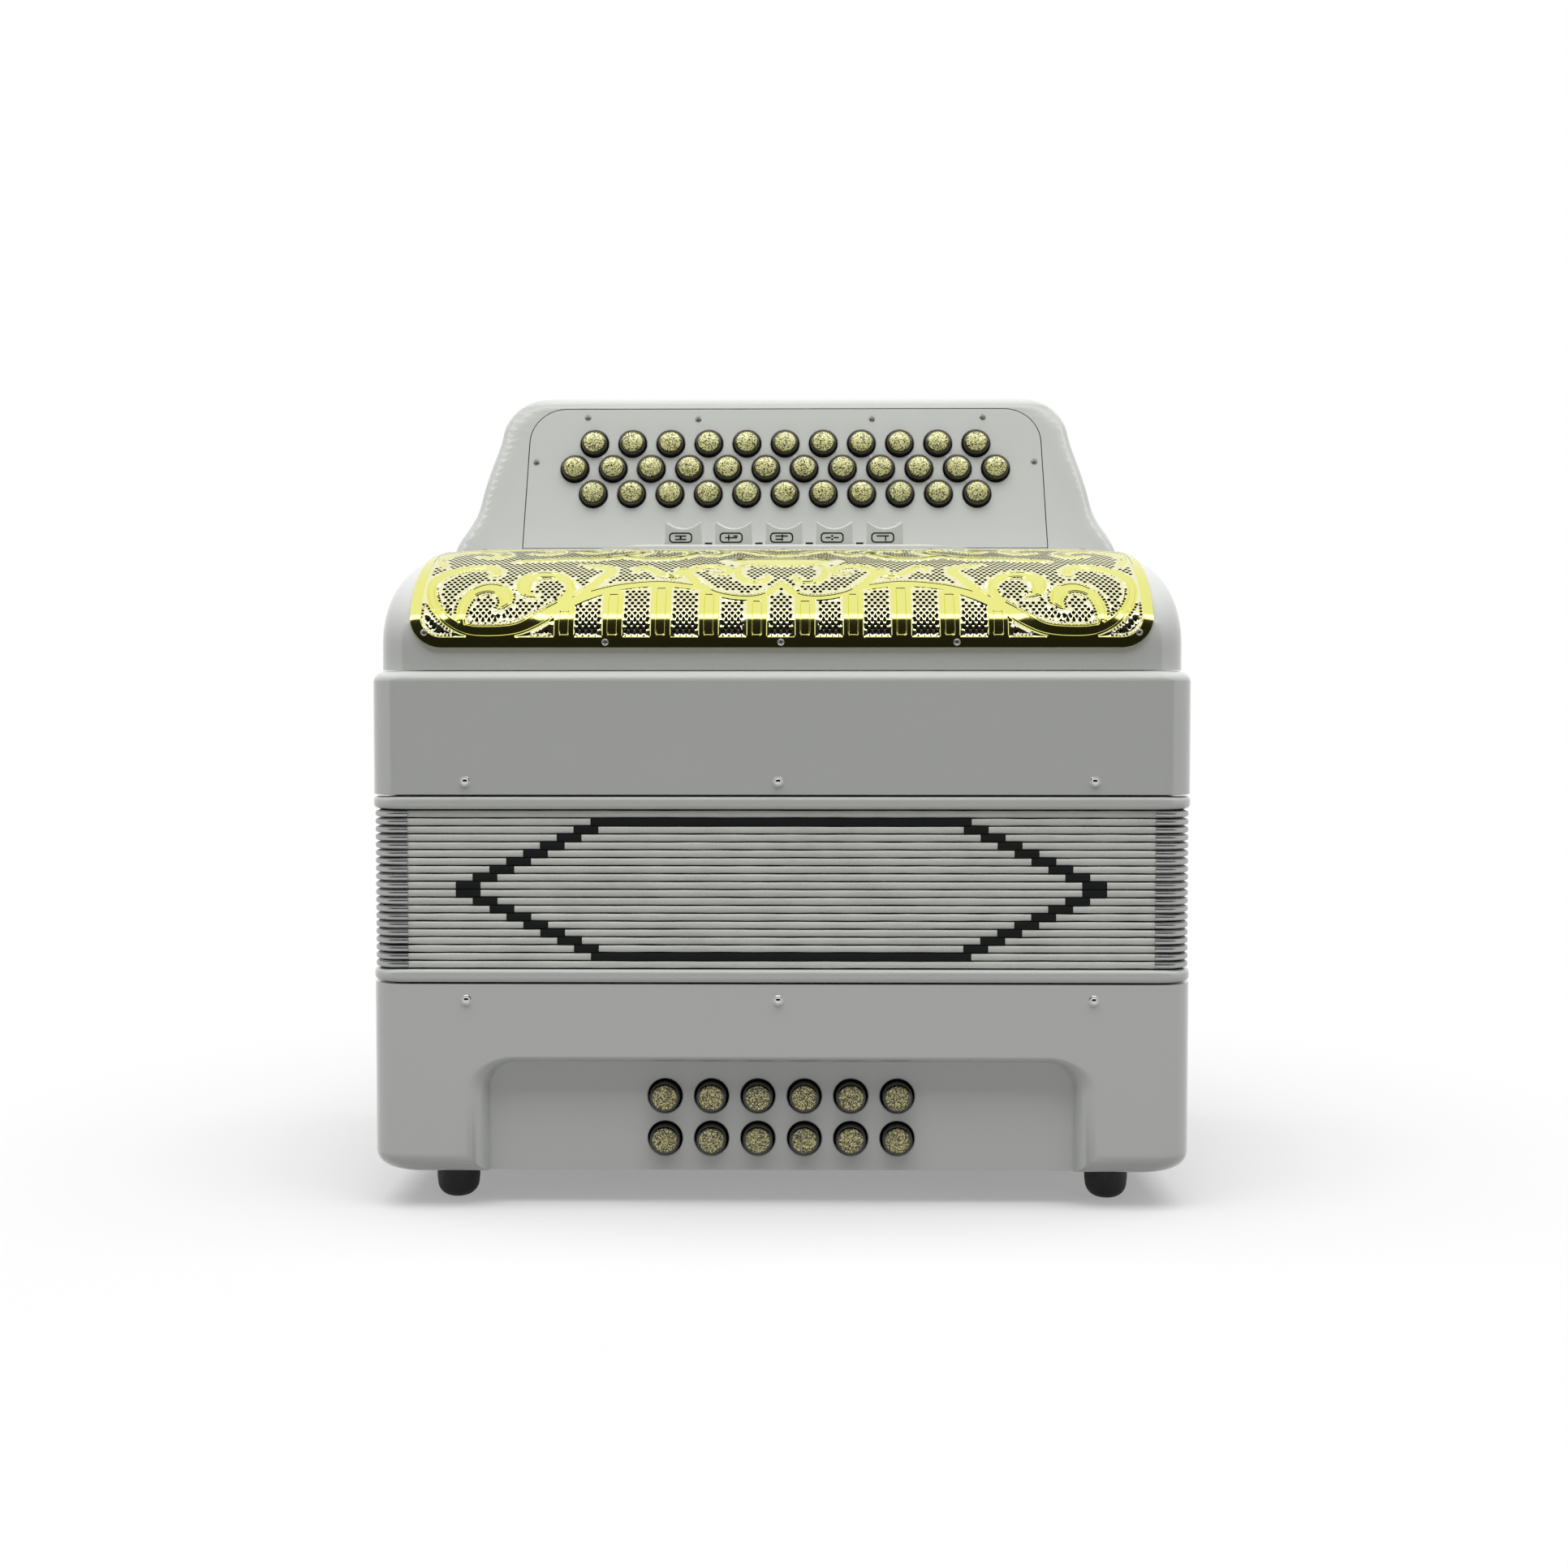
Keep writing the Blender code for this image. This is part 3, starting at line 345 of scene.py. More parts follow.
# Lines that the sheet's triangles follow: (field, distance inside it, spacing in mm)
SHEET_LINES = (
    ("outside", 0, 0.8),
    ("solid", 0, 0.55),
    ("solid", RELIEF_SLOPE, 0.55),
    ("ribbons", LINE_INSET - LINE_HALF, 0.75),
    ("ribbons", LINE_INSET, 0.75),
    ("ribbons", LINE_INSET + LINE_HALF, 0.75),
    ("panels", -LINE_HALF, 0.8),
    ("panels", 0, 0.8),
    ("panels", LINE_HALF, 0.8),
)

# Cloth behind the grille, near black, which also paints the shade inside the case seen through the holes
LINING_LIFT = 0.2 * MM
LINING_THICKNESS = 0.12 * MM
LINING_MARGIN = 2.5 * MM
LINING_END = GRILLE_LENGTH - 3 * MM
LINING_ROWS = 40
LINING_COLUMNS = 90

# Right half of the grille's scrollwork: each ribbon's (across, up, half-width) in mm along its middle
SCROLLS = (
    ((109.5, 34.5, 0.4), (107.5, 36.5, 1.4), (109.5, 41, 2), (115, 42.2, 2), (122.5, 39, 1.9),
     (127, 35.5, 1.9), (130.2, 30, 1.9), (130.7, 24, 1.9), (129.2, 18, 1.9), (126, 13, 2),
     (121.5, 9, 2.2), (115, 6.4, 2.5), (106.3, 6, 2.6), (97.6, 7, 2.6), (90.5, 10.4, 2.9),
     (84, 14.8, 3), (79, 18, 2.8), (71.7, 21.8, 2.4), (60, 26.5, 2.1), (45.5, 28.6, 2.1), (33, 26.6, 1.9)),
    ((37.6, 39.5, 2), (34.6, 34.5, 1.8), (31, 28, 1.7), (26, 23.8, 1.5), (20, 21.3, 1.5),
     (12.7, 20.4, 1.5), (6.6, 21.6, 1.5), (3, 25.2, 1.4), (0, 29.2, 1)),
    ((118, 8, 1.8), (118.5, 13, 1.8), (117.5, 18, 2), (114.4, 23.4, 2.2), (109.3, 26, 2.8),
     (104.2, 24, 3), (102.2, 19.4, 2.4), (103.7, 16.2, 1.2), (105, 15.2, 0.3)),
    ((81.4, 18, 2.2), (78.8, 23.5, 1.8), (79.8, 29.8, 1.8), (85.2, 34.4, 2.2), (91, 35, 2.5),
     (95.6, 31.4, 2.9), (96.2, 26.2, 2.8), (94.8, 22.6, 1.5), (91, 20.8, 0.3)),
    ((76, 20.6, 2), (70.7, 27, 1.7), (67, 33.5, 1.7), (64.6, 37.8, 2), (66, 41.6, 1.8),
     (70.7, 43.6, 1.2), (76, 45.8, 0.4)),
    ((54.5, 38.5, 0.4), (55, 41.2, 0.9), (51.9, 42.4, 1.3), (48.8, 39.4, 1.4), (45.6, 36.2, 1.3),
     (41.4, 34.4, 1.4), (37, 37, 1.8)),
    ((36.6, 37.5, 1.8), (33.6, 40, 1.5), (30, 43, 1.5), (24, 43.4, 1.5), (19.5, 40, 1.5),
     (21.2, 36.2, 1), (26, 37.4, 0.3)),
    ((15, 43.5, 1.2), (16.6, 39, 1.3), (16, 34.4, 1.4), (13.6, 31, 1.4), (9.6, 29.4, 1.2),
     (5.4, 31.4, 1), (5.6, 35, 0.4)),
    ((129, 44, 1), (132, 53, 1.8), (129, 63, 2.1), (120, 70, 2.2), (111, 68, 2.4), (108, 61, 2.2),
     (112.5, 56, 1.4), (117.5, 58.5, 0.4)),
    ((120, 70, 1.8), (112, 78, 2), (101, 81, 2.2), (91, 77, 2.4), (88, 69, 2.4), (92.5, 63.5, 1.6),
     (98.5, 66, 0.4)),
    ((101, 81, 1.6), (92, 88, 1.8), (80, 88, 2), (71, 82, 2.3), (70, 73, 2.3), (75.5, 67.5, 1.5),
     (80.5, 71, 0.4)),
    ((102, 50, 0.4), (93, 51.5, 1.2), (82, 54, 1.8), (70, 55, 2), (60, 60.5, 2.2), (54, 68.5, 2.3),
     (56, 77, 2.2), (62.5, 78.5, 1.3), (63.5, 73, 0.4)),
    ((62, 59, 1.6), (52, 54, 1.8), (41, 56, 2), (34.5, 64, 2.2), (37, 72.5, 2.1), (44, 74, 1.3),
     (45.5, 69, 0.4)),
    ((82, 88, 1.6), (64, 89, 1.8), (48, 86.5, 2), (34, 82, 2), (24, 74.5, 2.2), (22.5, 65.5, 2.2),
     (28, 60.5, 1.3), (31.5, 64, 0.4)),
    ((36, 82.5, 1.6), (23, 87, 1.6), (10, 85.5, 1.5), (0, 79, 1.4)),
    ((25, 74.5, 1.6), (15, 71.5, 1.8), (8, 64.5, 1.8), (0, 60, 1.4)),
)

# Screws, whose rises and places are in mm, the places across from the middle and up
SCREW_SEED = 7
LARGEST_TURN = 1.5
SCREW_SIDES = 28
SCREW_ROOT = 0.9 * MM
SCREW_EDGE_RISE = 0.14
SCREW_DOME_RISE = 0.3
CROSS_ARM_SHARE = 0.62
CROSS_HALF_SHARE = 0.12
CROSS_DEPTH = 0.35 * MM
GRILLE_SCREW_RADIUS = 1.3 * MM
GRILLE_SCREWS = ((64.8, 1.9), (131.8, 5.6), (122, 94.5), (60, 94.6))
GRILLE_MIDDLE_SCREWS = ((0, 1.9), (0, 94.6))
PLATE_SCREW_RADIUS = 1.45 * MM
PLATE_SCREWS = ((87.6, 64), (38.5, 63.2), (109.9, 42.9))
PLATE_SCREW_LIFT = 0.05 * MM

# Pins of the bellows frames
PIN_SIDES = 32
PIN_RADIUS = 1.65 * MM
PIN_COLLAR = 1.12
PIN_COLLAR_HEIGHT = 0.22 * MM
PIN_ROOT = 0.6 * MM
PIN_DOME_SHARE = 0.75
PIN_DOME_ANGLES = (15, 30, 45, 60, 75, 86)
PIN_XS = (-116.5 * MM, -1 * MM, 115.5 * MM)
TREBLE_PIN_Z = 159.6 * MM
BASS_PIN_Z = 78.6 * MM

# Buttons
BUTTON_RADIUS = 5.6 * MM
BUTTON_SKIRT = 6.5 * MM
BUTTON_RIM = 0.7 * MM
BUTTON_RIM_DROP = 0.25 * MM
BUTTON_CROWN = 0.3 * MM
BUTTON_SKIRT_EDGE = 0.3 * MM
BUTTON_FACE_SHARES = (0.8, 0.74, 0.6, 0.38, 0.18)
BUTTON_SIDES = 48
FACE_TILT = 0.55
TREBLE_HOLE_RADIUS = 6.4 * MM
TREBLE_PROUD = 2.8 * MM
BASS_HOLE_RADIUS = 6.5 * MM
BASS_PROUD = 4.3 * MM

# Glitter in the buttons: how fine its flakes are, how a swirl bends them, and its dark edge, partly the cap's
# own dark rim and partly painted shade where the domed cap turns away
FLAKE_SCALE = 2700
SWIRL_SCALE = 900
SWIRL_SHARE = 0.0006
GLITTER_DARK_RIM_AND_SHADE = (0.74, 0.86)

# The frame's names of the pieces that are pressed
TREBLE_BUTTONS = sorted(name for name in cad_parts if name.startswith("treble_button"))
BASS_BUTTONS = sorted(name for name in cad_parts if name.startswith("bass_button"))
REGISTERS = sorted(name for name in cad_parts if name.startswith("register"))


# Small mesh tools

def add_object(name, data):
    """An object round this data, in the scene."""
    obj = bpy.data.objects.new(name, data)
    bpy.context.scene.collection.objects.link(obj)
    return obj


def new_object(name, points, faces, finish, sharp=35):
    """A mesh object with one material, smooth except along edges sharper than the angle."""
    mesh = bpy.data.meshes.new(name)
    mesh.from_pydata([tuple(point) for point in points], [], [tuple(face) for face in faces])
    work = bmesh.new()
    work.from_mesh(mesh)
    bmesh.ops.recalc_face_normals(work, faces=work.faces)
    work.to_mesh(mesh)
    work.free()
    mesh.materials.append(finish)
    mesh.shade_smooth()
    mesh.set_sharp_from_angle(angle=math.radians(sharp))
    return add_object(name, mesh)


def skin(rings, tube=False):
    """Points and faces of a surface over rings of equal point counts: closed at its ends, or a tube."""
    count = len(rings[0])
    points = [point for ring in rings for point in ring]
    faces = []
    spans = len(rings) if tube else len(rings) - 1
    for span in range(spans):
        low = span * count
        high = (span + 1) % len(rings) * count
        for index in range(count):
            after = (index + 1) % count
            faces.append((low + index, low + after, high + after, high + index))
    if not tube:
        faces.append(tuple(range(count)))
        faces.append(tuple(range(len(points) - count, len(points))))
    return points, faces


def arc(centre_x, centre_y, radius, start, end, steps):
    """Points on an arc, angles in degrees."""
    angles = [math.radians(start + (end - start) * step / steps) for step in range(steps + 1)]
    return [(centre_x + radius * math.cos(angle), centre_y + radius * math.sin(angle)) for angle in angles]


def plan_outline(half_x, front, back, radius, corner_steps=12, front_steps=1, side_steps=1):
    """A rectangle with round corners in plan, anticlockwise from the right end of the front."""
    sides = (
        ((half_x - radius, front + radius), 270, (half_x, back - radius), side_steps),
        ((half_x - radius, back - radius), 0, (radius - half_x, back), side_steps),
        ((radius - half_x, back - radius), 90, (-half_x, front + radius), side_steps),
        ((radius - half_x, front + radius), 180, (half_x - radius, front), front_steps),
    )
    points = []
    for (x, y), start, end, steps in sides:
        points += arc(x, y, radius, start, start + 90, corner_steps)
        last = points[-1]
        for step in range(1, steps):
            share = step / steps
            points.append((last[0] + (end[0] - last[0]) * share, last[1] + (end[1] - last[1]) * share))
    return points


def at_level(outline, z):
    return [Vector((x, y, z)) for x, y in outline]


def prism(outline, low, high):
    return skin([at_level(outline, low), at_level(outline, high)])


def block(low, high):
    corners = [(low[0], low[1]), (high[0], low[1]), (high[0], high[1]), (low[0], high[1])]
    return prism(corners, low[2], high[2])


def turned(profile, sides=48):
    """A profile of (radius, z) turned about Z."""
    return skin([at_level(arc(0, 0, radius, 0, 360, sides)[:-1], z) for radius, z in profile])


def hole_cutter(radius, low, high):
    """A round cutter along local Z, with a small chamfer where it leaves the surface at z = 0."""
    mouth = HOLE_CHAMFER
    return turned([(radius, low), (radius, -mouth), (radius + mouth, 0), (radius + mouth, high)], HOLE_SIDES)


def joined(parts):
    """Several (points, faces) as one."""
    points, faces = [], []
    for part_points, part_faces in parts:
        start = len(points)
        points += list(part_points)
        faces += [tuple(start + index for index in face) for face in part_faces]
    return points, faces


def placed(part, place):
    points, faces = part
    return [place @ Vector(point) for point in points], faces


def apply_modifiers(obj):
    bpy.context.view_layer.update()
    evaluated = obj.evaluated_get(bpy.context.evaluated_depsgraph_get())
    mesh = bpy.data.meshes.new_from_object(evaluated)
    obj.modifiers.clear()
    obj.data = mesh


def cut(obj, part):
    """Cuts a (points, faces) solid out of an object and keeps its material and smoothing."""
    cutter = new_object("cutter", *part, obj.data.materials[0])
    modifier = obj.modifiers.new("cut", "BOOLEAN")
    modifier.operation = "DIFFERENCE"
    modifier.object = cutter
    apply_modifiers(obj)
    bpy.data.objects.remove(cutter, do_unlink=True)


def polish(obj, sharp=40):
    """Sharp edges over the angle, and elsewhere normals that keep large flat faces flat."""
    obj.data.shade_smooth()
    obj.data.set_sharp_from_angle(angle=math.radians(sharp))
    weighted = obj.modifiers.new("normals", "WEIGHTED_NORMAL")
    weighted.keep_sharp = True
    weighted.weight = FLAT_FACE_WEIGHT
    apply_modifiers(obj)


def soften(obj, width, segments=2, angle=40):
    """Rounds the sharp edges a little, then polishes."""
    bevel = obj.modifiers.new("edges", "BEVEL")
    bevel.width = width
    bevel.segments = segments
    bevel.limit_method = "ANGLE"
    bevel.angle_limit = math.radians(angle)
    apply_modifiers(obj)
    polish(obj, 50)


def finish_piece(obj, body, slot, *nodes):
    """Rides on a body and stands for CAD nodes, which it hides. The slot's name is not used."""
    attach(obj, body)
    if nodes:
        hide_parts(*nodes)


# Materials

class Nodes:
    """The nodes of a material or the world, with short names for what these ones use."""

    def __init__(self, owner, shader="Principled BSDF"):
        owner.use_nodes = True
        self.owner = owner
        self.tree = owner.node_tree
        self.shader = self.tree.nodes[shader]

    @property
    def place(self):
        return self.add("ShaderNodeTexCoord").outputs["Object"]

    def add(self, kind, inputs=None, **settings):
        node = self.tree.nodes.new(kind)
        for key, value in settings.items():
            setattr(node, key, value)
        self.feed(node, inputs or {})
        return node

    def feed(self, node, inputs):
        """Sets a node's inputs. Each is a value, or another node's output that is linked to it."""
        for key, value in inputs.items():
            if isinstance(value, bpy.types.NodeSocket):
                self.tree.links.new(value, node.inputs[key])
            else:
                node.inputs[key].default_value = value

    def use(self, **inputs):
        """Feeds the surface's shader, and gives the material back."""
        self.feed(self.shader, {key.replace("_", " "): value for key, value in inputs.items()})
        return self.owner

    def noise(self, scale, detail=3.0, roughness=0.5, place=None):
        inputs = {"Scale": scale, "Detail": detail, "Roughness": roughness, "Vector": place or self.place}
        return self.add("ShaderNodeTexNoise", inputs).outputs["Fac"]

    def ramp(self, source, *stops):
        """A colour ramp from (position, colour) stops."""
        node = self.add("ShaderNodeValToRGB", {"Fac": source})
        elements = node.color_ramp.elements
        while len(elements) < len(stops):
            elements.new(0.5)
        for element, (position, colour) in zip(elements, stops):
            element.position = position
            element.color = (*colour, 1)
        return node.outputs["Color"]

    def cloud(self, scale, detail, dark, pale, dark_end=0.3, pale_end=0.7):
        """A soft cloud between two colours."""
        return self.ramp(self.noise(scale, detail), (dark_end, dark), (pale_end, pale))

    def span(self, source, low, high, from_low=0.0, from_high=1.0):
        ends = {"From Min": from_low, "From Max": from_high, "To Min": low, "To Max": high}
        return self.add("ShaderNodeMapRange", {**ends, "Value": source}).outputs["Result"]

    def math(self, operation, *values):
        return self.add("ShaderNodeMath", dict(enumerate(values)), operation=operation).outputs["Value"]

    def bump(self, height, distance, strength=1.0, **normal):
        inputs = {"Height": height, "Distance": distance, "Strength": strength, **normal}
        return self.add("ShaderNodeBump", inputs).outputs["Normal"]

    def mix(self, kind, factor, first, second):
        inputs = {"Factor": factor, "A": first, "B": second}
        return self.add("ShaderNodeMix", inputs, data_type=kind).outputs["Result"]

    def seen(self):
        """1 where the camera, a reflection or glass looks, 0 for light that only fills."""
        rays = self.add("ShaderNodeLightPath").outputs
        either = self.math("MAXIMUM", rays["Is Camera Ray"], rays["Is Glossy Ray"])
        return self.math("MAXIMUM", either, rays["Is Transmission Ray"])


def material(name):
    return Nodes(bpy.data.materials.new(name))


def grey(level):
    return (level, level, level)


def white_lacquer():
    """Poured white lacquer: nearly even, with handling marks in its gloss and a little orange peel."""
    made = material("white_lacquer")
    return made.use(
        Base_Color=made.cloud(14, 3, (0.715, 0.73, 0.70), (0.725, 0.74, 0.71), 0.2, 0.8),
        Roughness=made.span(made.noise(45, 5, 0.65), 0.2, 0.26, 0.35, 0.75),
        Normal=made.bump(made.noise(260, 2), 0.01 * MM, 0.2),
        Coat_Weight=0.8,
        Coat_Roughness=0.04,
        IOR=1.45,
    )


def chrome(name, level, dull):
    """Bright plating with faint wipe marks."""
    made = material(name)
    wiped = made.noise(160, 4, 0.6)
    return made.use(
        Base_Color=made.cloud(40, 2, grey(0.86 * level), grey(level)),
        Roughness=made.span(wiped, dull, dull + 0.12),
        Normal=made.bump(wiped, 0.01 * MM, 0.4),
        Metallic=1.0,
    )


def gold_plate(name, tone, dull):
    """Polished pale gold, drawn slightly to one side, with fine wipe marks in its gloss."""
    made = material(name)
    drawn = made.add("ShaderNodeMapping", {"Scale": (6, 60, 60), "Vector": made.place})
    grain = made.noise(20, 4, 0.6, drawn.outputs["Vector"])
    return made.use(
        Base_Color=made.cloud(9, 3, tuple(0.92 * part for part in tone), tone),
        Roughness=made.span(grain, dull, dull + 0.07),
        Normal=made.bump(grain, 0.004 * MM, 0.5),
        Metallic=1.0,
    )


def cloth(name, pale, dark, relief_height=0.02):
    """Woven tape: two crossing sets of threads set aslant, and a soft cloud of handling marks."""
    made = material(name)
    slant = {"Rotation": (0, math.radians(32), 0), "Vector": made.place}
    aslant = made.add("ShaderNodeMapping", slant).outputs["Vector"]
    wave = {"Scale": 420, "Distortion": 2.0, "Detail": 1.0, "Vector": aslant}
    threads = []
    for direction in ("X", "Z"):
        thread = made.add("ShaderNodeTexWave", wave, wave_type="BANDS", bands_direction=direction)
        threads.append(thread.outputs["Fac"])
    weave = made.math("MULTIPLY", *threads)
    marks = made.noise(55, 5, 0.65)
    tone = made.math("MULTIPLY_ADD", weave, 0.35, marks)
    fuzz = made.bump(made.noise(500, 3), 0.04 * MM, 0.5)
    return made.use(
        Base_Color=made.ramp(tone, (0.32, dark), (0.62, pale)),
        Roughness=made.span(marks, 0.7, 0.9),
        Normal=made.bump(weave, relief_height * MM, 0.8, Normal=fuzz),
        Sheen_Weight=0.05,
        Specular_IOR_Level=0.3,
    )


def glitter(name, flake, deep, dark_share):
    """Fine metal flakes of many tilts set in a clear cap; their tilts show as painted colour, the paler
    flakes being painted glints on a dark ground. Towards its rim the cap darkens, partly its own dark edge
    and partly painted shade.
    """
    made = material(name)
    swirl = made.add("ShaderNodeTexNoise", {"Scale": SWIRL_SCALE, "Vector": made.place}).outputs["Color"]
    bent = made.mix("VECTOR", SWIRL_SHARE, made.place, swirl)
    cells = made.add("ShaderNodeTexVoronoi", {"Scale": FLAKE_SCALE, "Vector": bent}).outputs["Color"]
    tone = made.add("ShaderNodeSeparateColor", {"Color": cells}).outputs
    middle = tuple(0.5 * part for part in flake)
    pale = tuple(min(1.0, 1.4 * part + 0.15) for part in flake)
    # Paler flakes are painted glints of flakes turned to the light; the deep tone is the dark ground between
    # the flakes
    colour = made.ramp(
        tone["Red"],
        (0.8 * dark_share, deep),
        (dark_share, middle),
        (dark_share + 0.14, flake),
        (0.68, flake),
        (0.85, pale),
    )
    # Towards the rim the colour turns to the deep tone: partly the cap's own dark edge, partly painted shade
    # where the dome turns away
    rim = made.add("ShaderNodeAttribute", attribute_name="rim").outputs["Fac"]
    near_rim = made.span(rim, 0.0, 1.0, *GLITTER_DARK_RIM_AND_SHADE)
    return made.use(
        Base_Color=made.mix("RGBA", near_rim, colour, (*deep, 1)),
        Roughness=made.span(tone["Green"], 0.2, 0.5),
        Normal=made.bump(tone["Blue"], 0.22 * MM),
        Coat_Weight=1.0,
        Coat_Roughness=0.04,
        Metallic=0.85,
    )


def black_plastic(name):
    made = material(name)
    grain = made.noise(900, 2)
    return made.use(
        Base_Color=made.cloud(120, 3, (0.010, 0.010, 0.011), (0.022, 0.022, 0.023)),
        Roughness=made.span(grain, 0.3, 0.5),
        Normal=made.bump(grain, 0.03 * MM, 0.3),
    )


def rubber():
    made = material("foot_rubber")
    grain = made.noise(700, 4)
    return made.use(
        Base_Color=made.cloud(60, 4, (0.012, 0.012, 0.013), (0.035, 0.035, 0.036), 0.3, 0.75),
        Roughness=made.span(grain, 0.5, 0.8),
        Normal=made.bump(grain, 0.06 * MM, 0.6),
    )


def pale_floor():
    """A pale floor that keeps the shadow near the object and turns into the white background farther out."""
    made = material("pale_floor")
    filling = made.add("ShaderNodeLightPath").outputs["Is Diffuse Ray"]
    colour = made.cloud(3, 2, grey(0.90), grey(0.94))
    shown = made.mix("RGBA", filling, colour, (*FLOOR_BOUNCE, 1))
    made.use(Base_Color=shown, Roughness=0.9)
    away = made.add("ShaderNodeVectorMath", {0: made.place}, operation="LENGTH").outputs["Value"]
    far = made.span(away, *FLOOR_FADE, *FLOOR_WHITE)
    far.node.interpolation_type = "SMOOTHSTEP"
    white = made.add("ShaderNodeEmission").outputs["Emission"]
    whiteness = made.math("MULTIPLY", far, made.seen())
    blend = made.add("ShaderNodeMixShader", {"Fac": whiteness, 1: made.shader.outputs["BSDF"], 2: white})
    made.feed(made.tree.nodes["Material Output"], {"Surface": blend.outputs["Shader"]})
    return made.owner


def dark_cloth():
    """Black cloth of a studio flag, which only reflections see."""
    made = material("dark_cloth")
    return made.use(Base_Color=made.cloud(30, 3, grey(0.001), (0.004, 0.003, 0.002)), Roughness=0.95)


# Stage

def make_camera():
    data = bpy.data.cameras.new("camera")
    data.sensor_width = SENSOR_WIDTH
    data.lens = SENSOR_WIDTH * FOCAL_PIXELS / PHOTO_SIDE
    data.clip_start = 0.05
    data.clip_end = 20
    camera = add_object("camera", data)
    camera.location = CAMERA_PLACE
    camera.rotation_euler = (math.radians(90 + CAMERA_PITCH), 0, math.radians(CAMERA_YAW))
    bpy.context.scene.camera = camera


def area_light(name, place, aim, size, power, glossy):
    """A lamp that shows only in reflections, or one that gives only diffuse light."""
    data = bpy.data.lights.new(name, "AREA")
    data.shape = "RECTANGLE"
    data.size, data.size_y = size
    data.energy = power
    light = add_object(name, data)
    light.location = place
    light.visible_glossy = glossy
    light.visible_diffuse = not glossy
    light.rotation_euler = (Vector(aim) - Vector(place)).to_track_quat("-Z", "Y").to_euler()


def make_world():
    """White where the camera, a reflection or glass looks, and a soft fill for everything else."""
    world = bpy.data.worlds.new("studio")
    bpy.context.scene.world = world
    made = Nodes(world, "Background")
    made.use(Color=(1, 1, 1, 1), Strength=made.span(made.seen(), WORLD_FILL, 1.0))


def make_stage():
    bpy.context.scene.view_settings.view_transform = "Standard"
    side, half = FLOOR_HALF, FLAG_HALF_WIDTH
    floor_points = [(-side, -side, 0), (side, -side, 0), (side, side, 0), (-side, side, 0)]
    floor = new_object("floor", floor_points, [(0, 1, 2, 3)], pale_floor())
    flag_points = [(-half, FLAG_Y, 0), (half, FLAG_Y, 0), (half, FLAG_Y, FLAG_TOP), (-half, FLAG_Y, FLAG_TOP)]
    flag = new_object("dark_card", flag_points, [(0, 1, 2, 3)], dark_cloth())
    flag.visible_camera = False
    flag.visible_diffuse = False
    flag.visible_transmission = False
    flag.visible_shadow = False
    make_world()
    area_light("overhead", OVERHEAD_PLACE, OVERHEAD_AIM, OVERHEAD_SIZE, OVERHEAD_POWER, glossy=False)
    area_light("strip", STRIP_LIGHT_PLACE, STRIP_LIGHT_AIM, STRIP_LIGHT_SIZE, STRIP_LIGHT_POWER, glossy=True)


# Cases and bellows frames

def case_outline(inset, corner=CASE_CORNER):
    """The case's plan, drawn in by the inset."""
    return plan_outline(HALF_WIDTH - inset, inset - HALF_DEPTH, HALF_DEPTH - inset, corner)


def box_rings(z_closed, z_open, edge):
    """Rings of a box from its rounded closed end to its open rim."""
    side = 1 if z_open > z_closed else -1
    rings = []
    for step in range(EDGE_STEPS + 1):
        angle = math.pi / 2 * step / EDGE_STEPS
        inset = edge * (1 - math.sin(angle))
        level = z_closed + side * edge * (1 - math.cos(angle))
        rings.append(at_level(case_outline(inset), level))
    rings.append(at_level(case_outline(0), z_open))
    return rings


def recess_cutter(floor_z):
    """The bass recess: a flat panel with a rolled edge on three sides, open at the bottom."""
    sections = [(RECESS_ROLL, -REACH)]
    for step in range(RECESS_ROLL_STEPS + 1):
        angle = math.radians(90 * step / RECESS_ROLL_STEPS)
        sections.append((RECESS_ROLL * (1 - math.sin(angle)), RECESS_ROLL * (1 - math.cos(angle))))
    sections.append((0, RECESS_DEPTH))
    centre_x = RECESS_HALF_WIDTH - RECESS_CORNER
    centre_z = CASE_HIGH.z - RECESS_TOP_DROP - RECESS_CORNER
    loops = []
    for grown, depth in sections:
        half = RECESS_HALF_WIDTH + grown
        wide = RECESS_CORNER + grown
        high = RECESS_CORNER + RECESS_TOP_ROLL_SHARE * grown
        outline = [(-half, floor_z - REACH), (half, floor_z - REACH)]
        for side, start in ((1, 0), (-1, 90)):
            for x, z in arc(0, 0, 1, start, start + 90, RECESS_CORNER_STEPS):
                outline.append((side * centre_x + wide * x, centre_z + high * z))
        loops.append([Vector((x, depth - HALF_DEPTH, z)) for x, z in outline])
    return skin(loops)


def make_bass_case():
    """The bass case's shell, with the recess moulded into its front and a hole for each button."""
    floor_z = FOOT_HEIGHT
    top_z = CASE_HIGH.z
    inner_front = RECESS_DEPTH + CASE_WALL - HALF_DEPTH
    inner_corner = CASE_CORNER - CASE_WALL / 2
    inner = plan_outline(HALF_WIDTH - CASE_WALL, inner_front, HALF_DEPTH - CASE_WALL, inner_corner)
    rings = box_rings(floor_z, top_z, BASS_EDGE)
    rings += [at_level(inner, top_z), at_level(inner, floor_z + CASE_WALL)]
    case = new_object("bass_case_shell", *skin(rings), LACQUER)
    cut(case, recess_cutter(floor_z))
    reach = CASE_WALL + REACH
    holes = [placed(hole_cutter(BASS_HOLE_RADIUS, -reach, reach), bass_place(name)) for name in BASS_BUTTONS]
    holes.append(placed(hole_cutter(AIR_HOLE_RADIUS, -reach, reach), air_place()))
    cut(case, joined(holes))
    polish(case)
    finish_piece(case, "bass_end", "white_lacquer", "bass_case")


def air_place():
    """Where the air button meets the bass end's underside."""
    low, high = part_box("air_button")
    centre = (low + high) / 2
    return Matrix.Translation((centre.x, centre.y, FOOT_HEIGHT))


